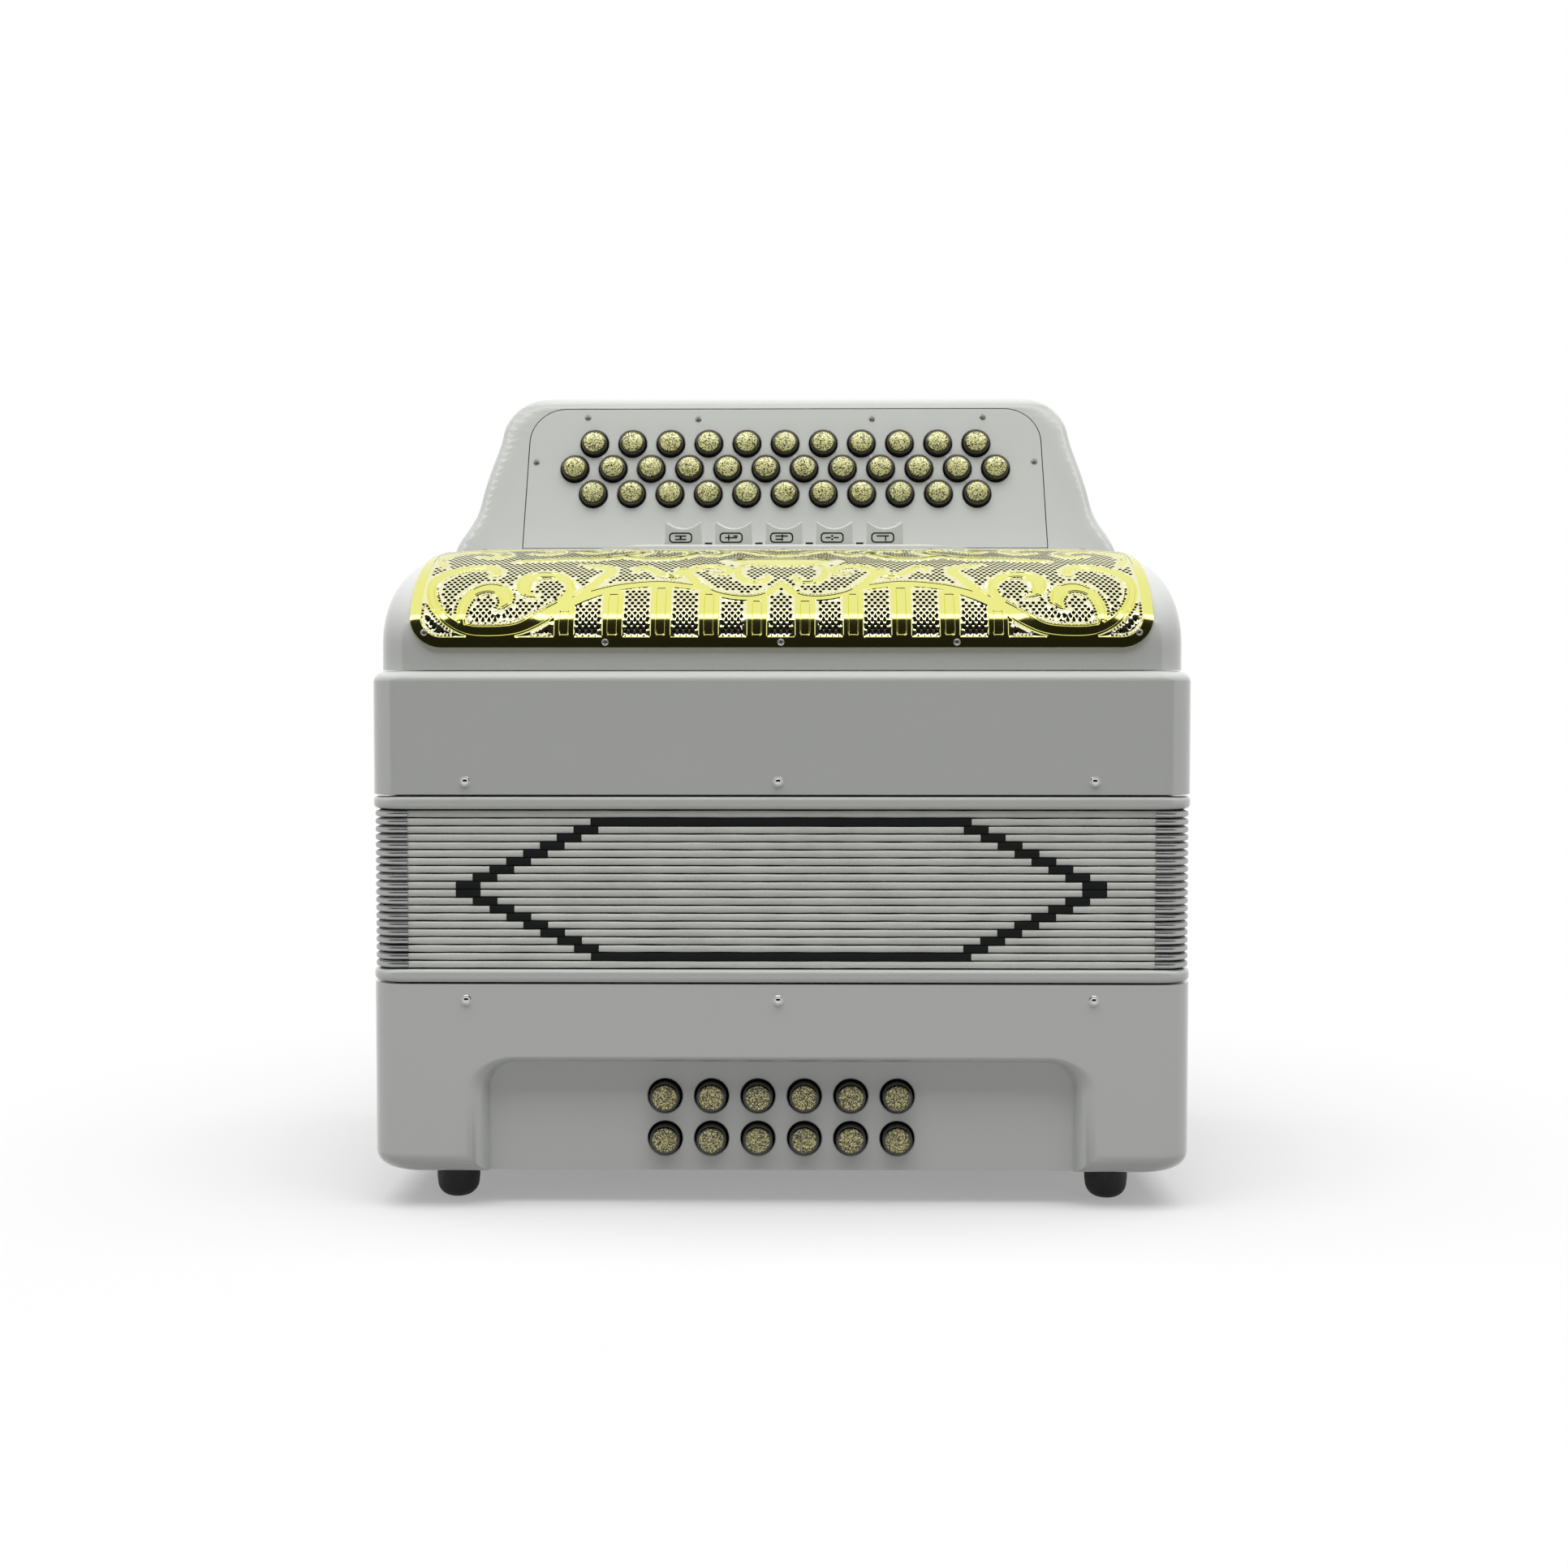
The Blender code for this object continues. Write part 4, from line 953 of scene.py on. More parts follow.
def make_air_button():
    low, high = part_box("air_button")
    radius = (high.x - low.x) / 2
    drop = FOOT_HEIGHT - low.z
    edge = AIR_BUTTON_ROUND
    profile = [(0.4 * MM, -drop), (0.6 * radius, -drop + 0.1 * MM)]
    profile += arc(radius - edge, edge - drop, edge, 290, 360, 5)
    profile += [(radius, AIR_BUTTON_STEM), (0.5 * radius, AIR_BUTTON_STEM + 0.2 * MM)]
    knob = new_object("air_button_knob", *placed(turned(profile), air_place()), BLACK)
    finish_piece(knob, "air_button", "black_plastic", "air_button")


def make_feet():
    """Four rubber feet, tapered and rounded at the floor."""
    base, top, edge = FOOT_BASE_RADIUS, FOOT_TOP_RADIUS, FOOT_ROUND
    profile = [(base - 1.25 * edge, 0), (base - edge, 0.05 * MM)]
    profile += arc(base - edge, edge, edge, 285, 350, 6)
    profile.append(((base + top) / 2, 0.55 * FOOT_HEIGHT))
    profile += [(top, FOOT_HEIGHT - 0.6 * MM), (top, FOOT_HEIGHT + 0.4 * MM)]
    for index, (side, end) in enumerate(((-1, -1), (1, -1), (-1, 1), (1, 1))):
        place = Matrix.Translation((side * FOOT_X, end * FOOT_Y, 0))
        foot = new_object(f"foot_{index + 1}", *placed(turned(profile), place), RUBBER)
        finish_piece(foot, "bass_end", "black_plastic")


def make_treble_case():
    low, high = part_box("treble_case")
    inner = case_outline(CASE_WALL, CASE_CORNER - CASE_WALL / 2)
    rings = box_rings(high.z, low.z, TREBLE_EDGE)
    rings += [at_level(inner, low.z), at_level(inner, high.z - CASE_WALL)]
    case = new_object("treble_case_shell", *skin(rings), LACQUER)
    soften(case, 0.35 * MM)
    finish_piece(case, "treble_end", "white_lacquer", "treble_case")


def make_bellows_frame(node, body):
    """A lacquered ring, softly rounded outwards."""
    low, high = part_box(node)
    bulge = high.x - HALF_WIDTH
    rings = []
    for step in range(FRAME_STEPS + 1):
        angle = math.pi * step / FRAME_STEPS
        squash = 0.5 - 0.5 * math.copysign(abs(math.cos(angle)) ** FRAME_POWER, math.cos(angle))
        out = bulge - FRAME_ROUND * (1 - abs(math.sin(angle)) ** FRAME_POWER)
        rings.append(at_level(case_outline(-out), low.z + squash * (high.z - low.z)))
    inner = case_outline(FRAME_WALL, CASE_CORNER / 2)
    rings += [at_level(inner, high.z), at_level(inner, low.z)]
    ring = new_object(node + "_ring", *skin(rings, tube=True), LACQUER)
    polish(ring)
    finish_piece(ring, body, "white_lacquer", node)


# Bellows

def share_at(weight):
    """Where between a blend's start and end a point moves by this share of the joint: smoothstep undone."""
    return 0.5 - math.sin(math.asin(1 - 2 * weight) / 3)


def carry_between(obj, low_z, low_weight, high_z, high_weight):
    """Bakes a piece's transform into its mesh; the shares of the draw at its foot and head are worked out
    here but nothing blends the piece by them.
    """
    low_share, high_share = share_at(low_weight), share_at(high_weight)
    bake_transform(obj)


def carry_whole(obj):
    """Bakes a piece's transform into its mesh."""
    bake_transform(obj)


def bellows_path(inset, corner, straight_step):
    """The bellows' plan with points along its straight sides."""
    half_x, half_y = HALF_WIDTH - inset, HALF_DEPTH - inset
    front = max(int(2 * half_x / straight_step), 1)
    side = max(int(2 * half_y / straight_step), 1)
    return plan_outline(half_x, -half_y, half_y, corner, 8, front, side)


def outward(outline):
    """Unit normals of a closed outline, anticlockwise."""
    count = len(outline)
    normals = []
    for index in range(count):
        (x0, y0), (x1, y1) = outline[index - 1], outline[(index + 1) % count]
        length = math.hypot(x1 - x0, y1 - y0)
        normals.append(((y1 - y0) / length, (x0 - x1) / length))
    return normals


def strip_sections(outline, z, half_height, proud, thick, wave=None):
    """A rounded strip's cross-section at each point of its path. A wave makes it thicker and thinner."""
    half = ((-thick, 0.8), (-0.15 * thick, 1), (0.55 * proud, 0.88), (0.92 * proud, 0.6))
    shape = [(out, -up) for out, up in half] + [(proud, 0)] + list(reversed(half))
    sections = []
    for index, ((x, y), (nx, ny)) in enumerate(zip(outline, outward(outline))):
        height = half_height * (1 + wave[index]) if wave else half_height
        sections.append([Vector((x + nx * out, y + ny * out, z + up * height)) for out, up in shape])
    return sections


def run_of(sections, outline, chosen):
    """Copies of the sections where a test picks an unbroken run of an outline's points, in order."""
    count = len(outline)
    picked = [chosen(point) for point in outline]
    start = next(index for index in range(count) if picked[index] and not picked[index - 1])
    run = []
    while picked[(start + len(run)) % count] and len(run) < count:
        run.append([point.copy() for point in sections[(start + len(run)) % count]])
    return run


def fit_ends(sections, low, high):
    """Moves a run's two end sections along X to its exact limits."""
    first, last = (low, high) if sections[0][0].x < sections[-1][0].x else (high, low)
    for section, x in ((sections[0], first), (sections[-1], last)):
        for point in section:
            point.x = x


def strip_wave(path, chance):
    """Small uneven swells along a strip, as cloth glued round card has."""
    waves = []
    for _ in range(STRIP_WAVES):
        waves.append([chance.uniform(*ends) for ends in STRIP_WAVE_SPANS])
    swells = []
    for x, y in path:
        swells.append(sum(size * math.sin(rate * (x + 0.7 * y) + phase) for size, rate, phase in waves))
    return swells


def tape_spans(index):
    """Where the black tape lies on a fold, from one x to another. None on the first and last fold."""
    level = min(index, FOLD_COUNT - 1 - index)
    if level == 0:
        return ()
    outer = LOZENGE_TOP_HALF + LOZENGE_STEP * (level - 1)
    if level == 1:
        return ((-outer, outer),)
    inner = outer - LOZENGE_BLOCK
    return ((-outer, -inner), (inner, outer))


def make_fold(index, cloth_finish, tape_finish, metal):
    """One fold: its cloth strip, the black tape on it, and its four metal corners."""
    z = BELLOWS_LOW + (index + 0.5) * FOLD_PITCH
    number = f"{index + 1:02d}"
    path = bellows_path(BELLOWS_INSET, BELLOWS_CORNER, PATH_STEP)
    wave = strip_wave(path, random.Random(STRIP_SEED + index))
    strip_skin = skin(strip_sections(path, z, STRIP_HALF, STRIP_PROUD, STRIP_THICK, wave), tube=True)
    strip = new_object("fold_strip_" + number, *strip_skin, cloth_finish, 70)
    carry_whole(strip)
    reach_x, reach_y = HALF_WIDTH - CORNER_REACH, HALF_DEPTH - CORNER_REACH
    sections = strip_sections(path, z, CORNER_HALF, CORNER_PROUD, CORNER_THICK)
    corners = []
    for side in (-1, 1):
        for end in (-1, 1):
            run = run_of(sections, path, lambda point: side * point[0] > reach_x and end * point[1] > reach_y)
            corners.append(skin(run))
    corner = new_object("fold_corners_" + number, *joined(corners), metal, 70)
    carry_whole(corner)
    sections = strip_sections(path, z, TAPE_HALF, TAPE_PROUD, TAPE_THICK)
    band_y = HALF_DEPTH - TAPE_BAND
    tapes = []
    for end in (-1, 1):
        for low, high in tape_spans(index):
            run = run_of(sections, path, lambda point: low <= point[0] <= high and end * point[1] > band_y)
            fit_ends(run, low, high)
            tapes.append(skin(run))
    if tapes:
        tape = new_object("fold_tape_" + number, *joined(tapes), tape_finish, 60)
        carry_whole(tape)


def wall_edge(place, shift):
    """Level and share of the draw where folded card meets a strip, or the frame at either end."""
    if place == 0:
        return BELLOWS_LOW, 0.0
    if place == FOLD_COUNT + 1:
        return BELLOWS_HIGH, 1.0
    return BELLOWS_LOW + (place - 0.5) * FOLD_PITCH + shift, (place - 0.5) / FOLD_COUNT


def make_wall(index, finish):
    """The folded card between two strips, or between a frame and the strip next to it."""
    shift = CARD_INTO_STRIP * STRIP_HALF
    low_z, low_weight = wall_edge(index, shift)
    high_z, high_weight = wall_edge(index + 1, -shift)
    fold_z = (low_z + high_z) / 2
    (edge, inner_edge), (fold, inner_fold) = CARD_EDGE_DEPTHS, CARD_FOLD_DEPTHS
    depths = (edge, fold, edge, inner_edge, inner_fold, inner_edge)
    levels = (low_z, fold_z, high_z, high_z, fold_z, low_z)
    rings = []
    for depth, z in zip(depths, levels):
        corner = max(BELLOWS_CORNER - depth * MM * CARD_CORNER_LOSS, CARD_LEAST_CORNER)
        rings.append(at_level(bellows_path(BELLOWS_INSET + depth * MM, corner, straight_step=1), z))
    wall = new_object(f"fold_card_{index + 1:02d}", *skin(rings, tube=True), finish, 30)
    carry_between(wall, low_z, low_weight, high_z, high_weight)
    if index == 0:
        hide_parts("bellows")


def make_bellows():
    pale = cloth("bellows_cloth", (0.88, 0.89, 0.83), (0.74, 0.75, 0.70), 0.05)
    black = cloth("black_tape", (0.006, 0.007, 0.007), grey(0.002), 0.06)
    card = cloth("fold_card", grey(0.05), grey(0.02))
    metal = chrome("corner_metal", 0.42, 0.27)
    for index in range(FOLD_COUNT):
        make_fold(index, pale, black, metal)
    for index in range(FOLD_COUNT + 1):
        make_wall(index, card)


# Treble cover

def hood_point(angle):
    """(y, z) on the hood's front profile, a superellipse."""
    power = 2 / HOOD_POWER
    y = COVER_CREST_Y - (COVER_CREST_Y - COVER_FRONT_Y) * math.cos(angle) ** power
    return y, HOOD_Z + COVER_RISE * math.sin(angle) ** power


def hood_plan(angle):
    """Half-width and corner radius of the hood's plan where its profile is at this angle."""
    half_x = COVER_HALF_WIDTH - COVER_SHOULDER * (1 - math.cos(angle) ** SHOULDER_POWER)
    return half_x, COVER_CORNER + COVER_CORNER_GROWTH * (1 - math.cos(angle))


def neck_half_width(z):
    """The neck's half-width at a level, eased over a few millimetres where one stretch meets the next."""
    ease = min(NECK_EASE, max(COVER_TOP_Z - NECK_HEAD_CORNER + 2 * NECK_EASE - z, 0) / 2)
    return sum(neck_stretch(z + ease * share) for share in (-1, -0.6, -0.2, 0.2, 0.6, 1)) / 6


def neck_stretch(z):
    """The neck's stretches: flared at the foot, narrowing evenly, with round shoulders."""
    corner_z = COVER_TOP_Z - NECK_HEAD_CORNER
    flare_top = NECK_FOOT_Z + NECK_FLARE_RISE
    if z <= NECK_FOOT_Z:
        share = min(max((z - HOOD_Z) / (NECK_FOOT_Z - HOOD_Z), 0), 1)
        return NECK_ROOT_HALF + (NECK_FOOT_HALF - NECK_ROOT_HALF) * share
    if z <= flare_top:
        share = (z - NECK_FOOT_Z) / NECK_FLARE_RISE
        ease = (1 - math.cos(math.pi * share ** NECK_FLARE_POWER)) / 2
        return NECK_FOOT_HALF + (NECK_WAIST_HALF - NECK_FOOT_HALF) * ease
    if z <= corner_z:
        share = (z - flare_top) / (corner_z - flare_top)
        bow = NECK_SIDE_BOW * 4 * share * (1 - share)
        return NECK_WAIST_HALF + (NECK_HEAD_HALF - NECK_WAIST_HALF) * share + bow
    rise = min(z - corner_z, NECK_HEAD_CORNER)
    return NECK_HEAD_HALF - NECK_HEAD_CORNER + math.sqrt(NECK_HEAD_CORNER ** 2 - rise ** 2)


def inside_box(x, y, half_x, front, back, radius):
    """Whether (x, y) is inside a rectangle with round corners. All are arrays or numbers."""
    across = np.maximum(np.abs(x) - (half_x - radius), 0)
    middle = (front + back) / 2
    along = np.maximum(np.abs(y - middle) - ((back - front) / 2 - radius), 0)
    return across ** 2 + along ** 2 <= radius ** 2


def reach_of(inside, directions):
    """The distance from the neck's centre line to a section's edge along each direction, by halving."""
    low = np.zeros(len(directions))
    high = np.full(len(directions), LONGEST_REACH)
    for _ in range(HALVINGS):
        middle = (low + high) / 2
        hit = inside(directions[:, 0] * middle, NECK_CENTRE_Y + directions[:, 1] * middle)
        low = np.where(hit, middle, low)
        high = np.where(hit, high, middle)
    return low


def rounded_off(to_top, radius):
    """How far a face draws back under a rounded top edge."""
    return radius - np.sqrt(radius ** 2 - np.maximum(radius - to_top, 0) ** 2)


def neck_reach(directions, z):
    """How far the neck reaches at each direction's own level."""
    half = np.vectorize(neck_half_width)(z)
    to_top = np.maximum(COVER_TOP_Z - z, 0)
    front = NECK_FOOT_Y + (z - NECK_FOOT_Z) * math.tan(LEAN) + rounded_off(to_top, NECK_FRONT_ROUND)
    back = COVER_BACK_Y - rounded_off(to_top, NECK_BACK_ROUND)
    return reach_of(lambda x, y: inside_box(x, y, half, front, back, NECK_FRONT_ROUND), directions)


def hood_reach(directions, angle):
    """How far the hood reaches where its front profile is at this angle, and the level there."""
    front, z = hood_point(angle)
    half, radius = hood_plan(angle)
    return reach_of(lambda x, y: inside_box(x, y, half, front, COVER_BACK_Y, radius), directions), z


def smooth_max(first, second):
    """The larger of two, rounded where they cross."""
    near = np.maximum(NECK_BLEND - np.abs(first - second), 0) / NECK_BLEND
    return np.maximum(first, second) + near ** 2 * NECK_BLEND / 4


def cover_rings():
    """Rings round the cover from its foot to its head. Each is the rounded union of hood and neck."""
    steps = (COVER_CORNER_STEPS, COVER_FRONT_STEPS, COVER_SIDE_STEPS)
    base = plan_outline(COVER_HALF_WIDTH, COVER_FRONT_Y, COVER_BACK_Y, COVER_CORNER, *steps)
    directions = np.array([(x, y - NECK_CENTRE_Y) for x, y in base])
    directions /= np.linalg.norm(directions, axis=1)[:, None]
    flat = np.ones(len(directions))

    def ring(reach, level):
        spots = zip(directions, reach, level)
        return [Vector((away[0] * far, NECK_CENTRE_Y + away[1] * far, z)) for away, far, z in spots]

    rings = [ring(hood_reach(directions, 0)[0], flat * COVER_LOW.z)]
    for step in range(HOOD_STEPS + 1):
        hood, top = hood_reach(directions, HOOD_END_ANGLE * step / HOOD_STEPS)
        rings.append(ring(smooth_max(hood, neck_reach(directions, flat * top)), flat * top))
    for step in range(1, SHELF_STEPS + 1):
        share = step / SHELF_STEPS
        neck = neck_reach(directions, flat * (CREST_Z + NECK_FOOT_FILLET * share))
        beyond = np.maximum(smooth_max(hood, neck) - neck, 0) * (1 - share) ** 1.5
        near = np.clip(1 - beyond / NECK_FOOT_FILLET, 0, 1)
        climb = NECK_FOOT_FILLET * (1 - np.sqrt(1 - near ** 2))
        level = top + (CREST_Z - top) * min(4 * share, 1) + climb * share ** 0.5
        rings.append(ring(neck_reach(directions, level) + beyond, level))
    foot = rings[-1][0].z
    corner_z = COVER_TOP_Z - NECK_HEAD_CORNER
    levels = [foot + (corner_z - foot) * step / NECK_STEPS for step in range(1, NECK_STEPS + 1)]
    for step in range(1, HEAD_STEPS + 1):
        levels.append(corner_z + NECK_HEAD_CORNER * math.sin(math.pi / 2 * step / HEAD_STEPS))
    for level in levels:
        rings.append(ring(neck_reach(directions, flat * level), flat * level))
    return rings


def plate_outline(clearance):
    """The fingerboard plate's outline grown by a clearance: square at its foot, round at its head."""
    low = PLATE_START - clearance
    high = PLATE_START + PLATE_LENGTH + clearance
    foot = PLATE_FOOT_HALF + clearance
    head = PLATE_HEAD_HALF + clearance
    corner = PLATE_CORNER + clearance
    points = [(-foot, low), (foot, low)]
    points += arc(head - corner, high - corner, corner, 0, 90, 10)
    points += arc(corner - head, high - corner, corner, 90, 180, 10)
    return points


def make_cover():
    """The hood and neck as one shell, with the well under the fingerboard plate and the register slots."""
    cover = new_object("treble_cover_shell", *skin(cover_rings()), LACQUER, sharp=50)
    well = placed(prism(plate_outline(PLATE_SEAM), -BUTTON_WELL_DEPTH, BUTTON_WELL_REACH), FINGERBOARD)
    cut(cover, joined([well] + register_slots()))
    polish(cover)
    finish_piece(cover, "treble_end", "white_lacquer", "treble_cover")


def make_plate():
    plate = new_object("fingerboard_cover", *prism(plate_outline(0), -PLATE_THICKNESS, 0), LACQUER)
    soften(plate, 0.3 * MM)
    inverse = FINGERBOARD.inverted()
    hole = hole_cutter(TREBLE_HOLE_RADIUS, -PLATE_HOLE_REACH, PLATE_HOLE_REACH)
    cut(plate, joined([placed(hole, inverse @ treble_place(name)) for name in TREBLE_BUTTONS]))
    polish(plate)
    plate.data.transform(FINGERBOARD)
    finish_piece(plate, "treble_end", "white_lacquer", "fingerboard_plate")


# Registers

def register_slots():
    """The slots that the register tabs rock in, which pass through the plinth into the cover."""
    wide = REGISTER_FOOT_HALF + REGISTER_SLOT_GAP
    deep = REGISTER_DEPTH / 2 + REGISTER_SLOT_GAP
    slots = []
    for x in REGISTER_XS:
        low = (x - wide, REGISTER_Y - deep, REGISTER_SLOT_LOW)
        high = (x + wide, REGISTER_Y + deep, REGISTER_SLOT_HIGH)
        slots.append(block(low, high))
    return slots


def make_plinth():
    """The raised block that the register tabs stand in, with ramps at its ends."""
    top = CREST_Z + PLINTH_RISE
    sections = (
        (CREST_Z - PLINTH_ROOT, 0.5, -1),
        (CREST_Z, 0.25, -0.6),
        (top - 1 * MM, -0.62, 0),
        (top - 0.3 * MM, -0.85, 0.3),
        (top, -1, 1),
    )
    rings = []
    for level, ramp_share, setback in sections:
        half_x = PLINTH_HALF_WIDTH + ramp_share * PLINTH_RAMP
        outline = plan_outline(half_x, PLINTH_FRONT_Y + setback * MM, PLINTH_BACK_Y, 2 * MM, 6)
        rings.append(at_level(outline, level))
    plinth = new_object("register_plinth", *skin(rings), LACQUER)
    cut(plinth, joined(register_slots()))
    polish(plinth, 60)
    finish_piece(plinth, "treble_end", "white_lacquer")


def make_clips():
    """A small metal clip on the plinth between each two tabs."""
    top = CREST_Z + PLINTH_RISE
    front = REGISTER_Y - REGISTER_DEPTH / 2 + CLIP_SETBACK
    clips = []
    for left, right in zip(REGISTER_XS, REGISTER_XS[1:]):
        low = (left + REGISTER_FOOT_HALF + CLIP_GAP, front, top - 0.2 * MM)
        high = (right - REGISTER_FOOT_HALF - CLIP_GAP, front + CLIP_THICKNESS, top + CLIP_RISE)
        clips.append(block(low, high))
    clip = new_object("register_clips", *joined(clips), chrome("clip_metal", 0.42, 0.2))
    soften(clip, 0.25 * MM)
    finish_piece(clip, "treble_end", "black_plastic")


def register_tab():
    """A tab with a straight front, sides that close in upwards and a dished top, higher at the back."""
    rings = []
    for share_y in (0, 0.08, 0.3, 0.6, 0.92, 1):
        y = REGISTER_DEPTH * (share_y - 0.5)
        lift = REGISTER_BACK_RISE * share_y - REGISTER_SAG * math.sin(math.pi * share_y)
        outline = [(-REGISTER_FOOT_HALF, -REGISTER_ROOT), (REGISTER_FOOT_HALF, -REGISTER_ROOT)]
        for step in range(REGISTER_DISH_STEPS + 1):
            share = 1 - 2 * step / REGISTER_DISH_STEPS
            rise = REGISTER_HEIGHT + lift - REGISTER_DISH * (1 - share * share)
            outline.append((REGISTER_TOP_HALF * share, rise))
        rings.append([Vector((x, y, z)) for x, z in outline])
    return skin(rings)


def stroke(points, closed=False):
    """A thin flat bar along straight runs between points in mm, standing a little up along local Z."""
    ends = points[1:] + points[:1] if closed else points[1:]
    width = SIGN_LINE * MM
    parts = []
    for first, second in zip(points, ends):
        start, end = Vector(first) * MM, Vector(second) * MM
        along = (end - start).normalized()
        side = Vector((-along.y, along.x)) * width / 2
        ahead = along * width * SIGN_OVERLAP
        start, end = start - ahead, end + ahead
        corners = [start - side, end - side, end + side, start + side]
        parts.append(prism(corners, -SIGN_ROOT * MM, SIGN_RISE * MM))
    return parts


def register_sign(lines, dots):
    """A generic reed sign: a rounded box with lines and dots in it."""
    half_x, half_y = SIGN_HALF
    box = []
    for side, end, start in ((1, 1, 0), (-1, 1, 90), (-1, -1, 180), (1, -1, 270)):
        centre_x, centre_y = side * (half_x - SIGN_CORNER), end * (half_y - SIGN_CORNER)
        box += arc(centre_x, centre_y, SIGN_CORNER, start, start + 90, 5)
    parts = stroke(box, closed=True)
    for line in lines:
        parts += stroke(line)
    for x, y, radius in dots:
        circle = arc(x * MM, y * MM, radius * MM, 0, 360, 12)[:-1]
        parts.append(prism(circle, -SIGN_ROOT * MM, SIGN_DOT_RISE * MM))
    return joined(parts)


def make_registers():
    ink = black_plastic("symbol_ink")
    sign_x, sign_up = SIGN_PLACE
    upright = Matrix.Rotation(math.pi / 2, 4, "X")
    for name, x, (lines, dots) in zip(REGISTERS, REGISTER_XS, SIGNS):
        spot = Matrix.Translation((x, REGISTER_Y, CREST_Z))
        tab = new_object(name + "_tab", *placed(register_tab(), spot), LACQUER)
        soften(tab, 0.5 * MM, 3, 35)
        finish_piece(tab, name, "white_lacquer", name)
        face = spot @ Matrix.Translation((sign_x * MM, -REGISTER_DEPTH / 2, sign_up * MM)) @ upright
        sign = new_object(name + "_symbol", *placed(register_sign(lines, dots), face), ink)
        finish_piece(sign, name, "black_plastic")


# Grille

class HoodSkin:
    """Lays a flat pattern on the hood: u runs across from the middle and up runs over the crest, unrolled."""

    def __init__(self, lift):
        self.lift = lift
        self.angles = np.radians(np.linspace(0.02, math.degrees(HOOD_END_ANGLE), PROFILE_SAMPLES))
        profile = np.array([hood_point(angle) for angle in self.angles])
        slope = np.gradient(profile, axis=0)
        slope /= np.linalg.norm(slope, axis=1)[:, None]
        self.y = profile[:, 0] - lift * slope[:, 1]
        self.z = profile[:, 1] + lift * slope[:, 0]
        steps = np.hypot(np.diff(self.y), np.diff(self.z))
        self.up = np.concatenate([[0], np.cumsum(steps)])

    def corner(self, up):
        """Half-width of the straight front and radius of the round corner, at each level."""
        turn = 1 - np.cos(np.interp(up, self.up, self.angles))
        radius = COVER_CORNER + self.lift + COVER_CORNER_GROWTH * turn
        half = COVER_HALF_WIDTH + self.lift - COVER_SHOULDER * (1 - (1 - turn) ** SHOULDER_POWER)
        return half - radius, radius

    def base(self, u, up):
        straight, radius = self.corner(up)
        bend = np.clip((np.abs(u) - straight) / radius, 0, math.pi / 2)
        beyond = np.maximum(np.abs(u) - straight - radius * math.pi / 2, 0)
        x = np.minimum(np.abs(u), straight) + radius * np.sin(bend)
        y = np.interp(up, self.up, self.y) + radius * (1 - np.cos(bend)) + beyond
        return np.stack([np.copysign(x, u), y, np.interp(up, self.up, self.z)], axis=-1)

    def place(self, u, up, height):
        """Points on the skin, raised along its normal."""
        u, up, height = (np.asarray(part, dtype=float) for part in (u, up, height))
        nudge = 0.1 * MM
        low = np.maximum(up - nudge, 0)
        across = self.base(u + nudge, up) - self.base(u - nudge, up)
        along = self.base(u, low + 2 * nudge) - self.base(u, low)
        normal = np.cross(across, along)
        normal /= np.linalg.norm(normal, axis=-1)[..., None]
        return self.base(u, up) + normal * height[..., None]

    def matrix(self, u, up):
        """A place on the skin with local X across and local Z out of it."""
        nudge = 0.5 * MM
        here, beside, above = map(Vector, self.place([u, u + nudge, u], [up, up, up + nudge], [0, 0, 0]))
        across = (beside - here).normalized()
        out = across.cross(above - here).normalized()
        place = Matrix((across, out.cross(across), out)).transposed().to_4x4()
        place.translation = here
        return place

    def edge(self, up):
        """How far across the sheet reaches at each level, unrolled."""
        straight, radius = self.corner(up)
        sine = np.clip((GRILLE_HALF_WIDTH - straight) / radius, 0, math.sin(GRILLE_WRAP_ANGLE))
        return straight + radius * np.arcsin(sine)


def ribbon_discs(points):
    """Discs (across, up, radius) along a smooth ribbon through (across, up, half-width) points in mm."""
    knots = [Vector(point) * MM for point in points]
    knots = [2 * knots[0] - knots[1]] + knots + [2 * knots[-1] - knots[-2]]
    discs = []
    for a, b, c, d in zip(knots, knots[1:], knots[2:], knots[3:]):
        first, second, third = c - a, 2 * a - 5 * b + 4 * c - d, 3 * b - a - 3 * c + d
        steps = max(int((c - b).length / RIBBON_GAP), 2)
        for step in range(steps):
            t = step / steps
            discs.append(0.5 * (2 * b + first * t + second * t * t + third * t ** 3))
    return discs + [knots[-2]]


def rectangle_field(across, up, centre, half_x, low, high):
    """Distance inside a rectangle, negative outside."""
    return np.minimum(half_x - np.abs(across - centre), np.minimum(up - low, high - up))


def outside_field(across, level, edge):
    """Distance outside the sheet's outline, whose corners are round. Negative inside."""
    upper = level > GRILLE_LENGTH / 2
    radius = np.where(upper, GRILLE_TOP_CORNER, GRILLE_CORNER)
    to_side = across - edge + radius
    to_end = np.where(upper, level - GRILLE_LENGTH, -level) + radius
    corner = np.hypot(np.maximum(to_side, 0), np.maximum(to_end, 0)) - radius
    return np.minimum(np.maximum(to_side, to_end), 0) + corner


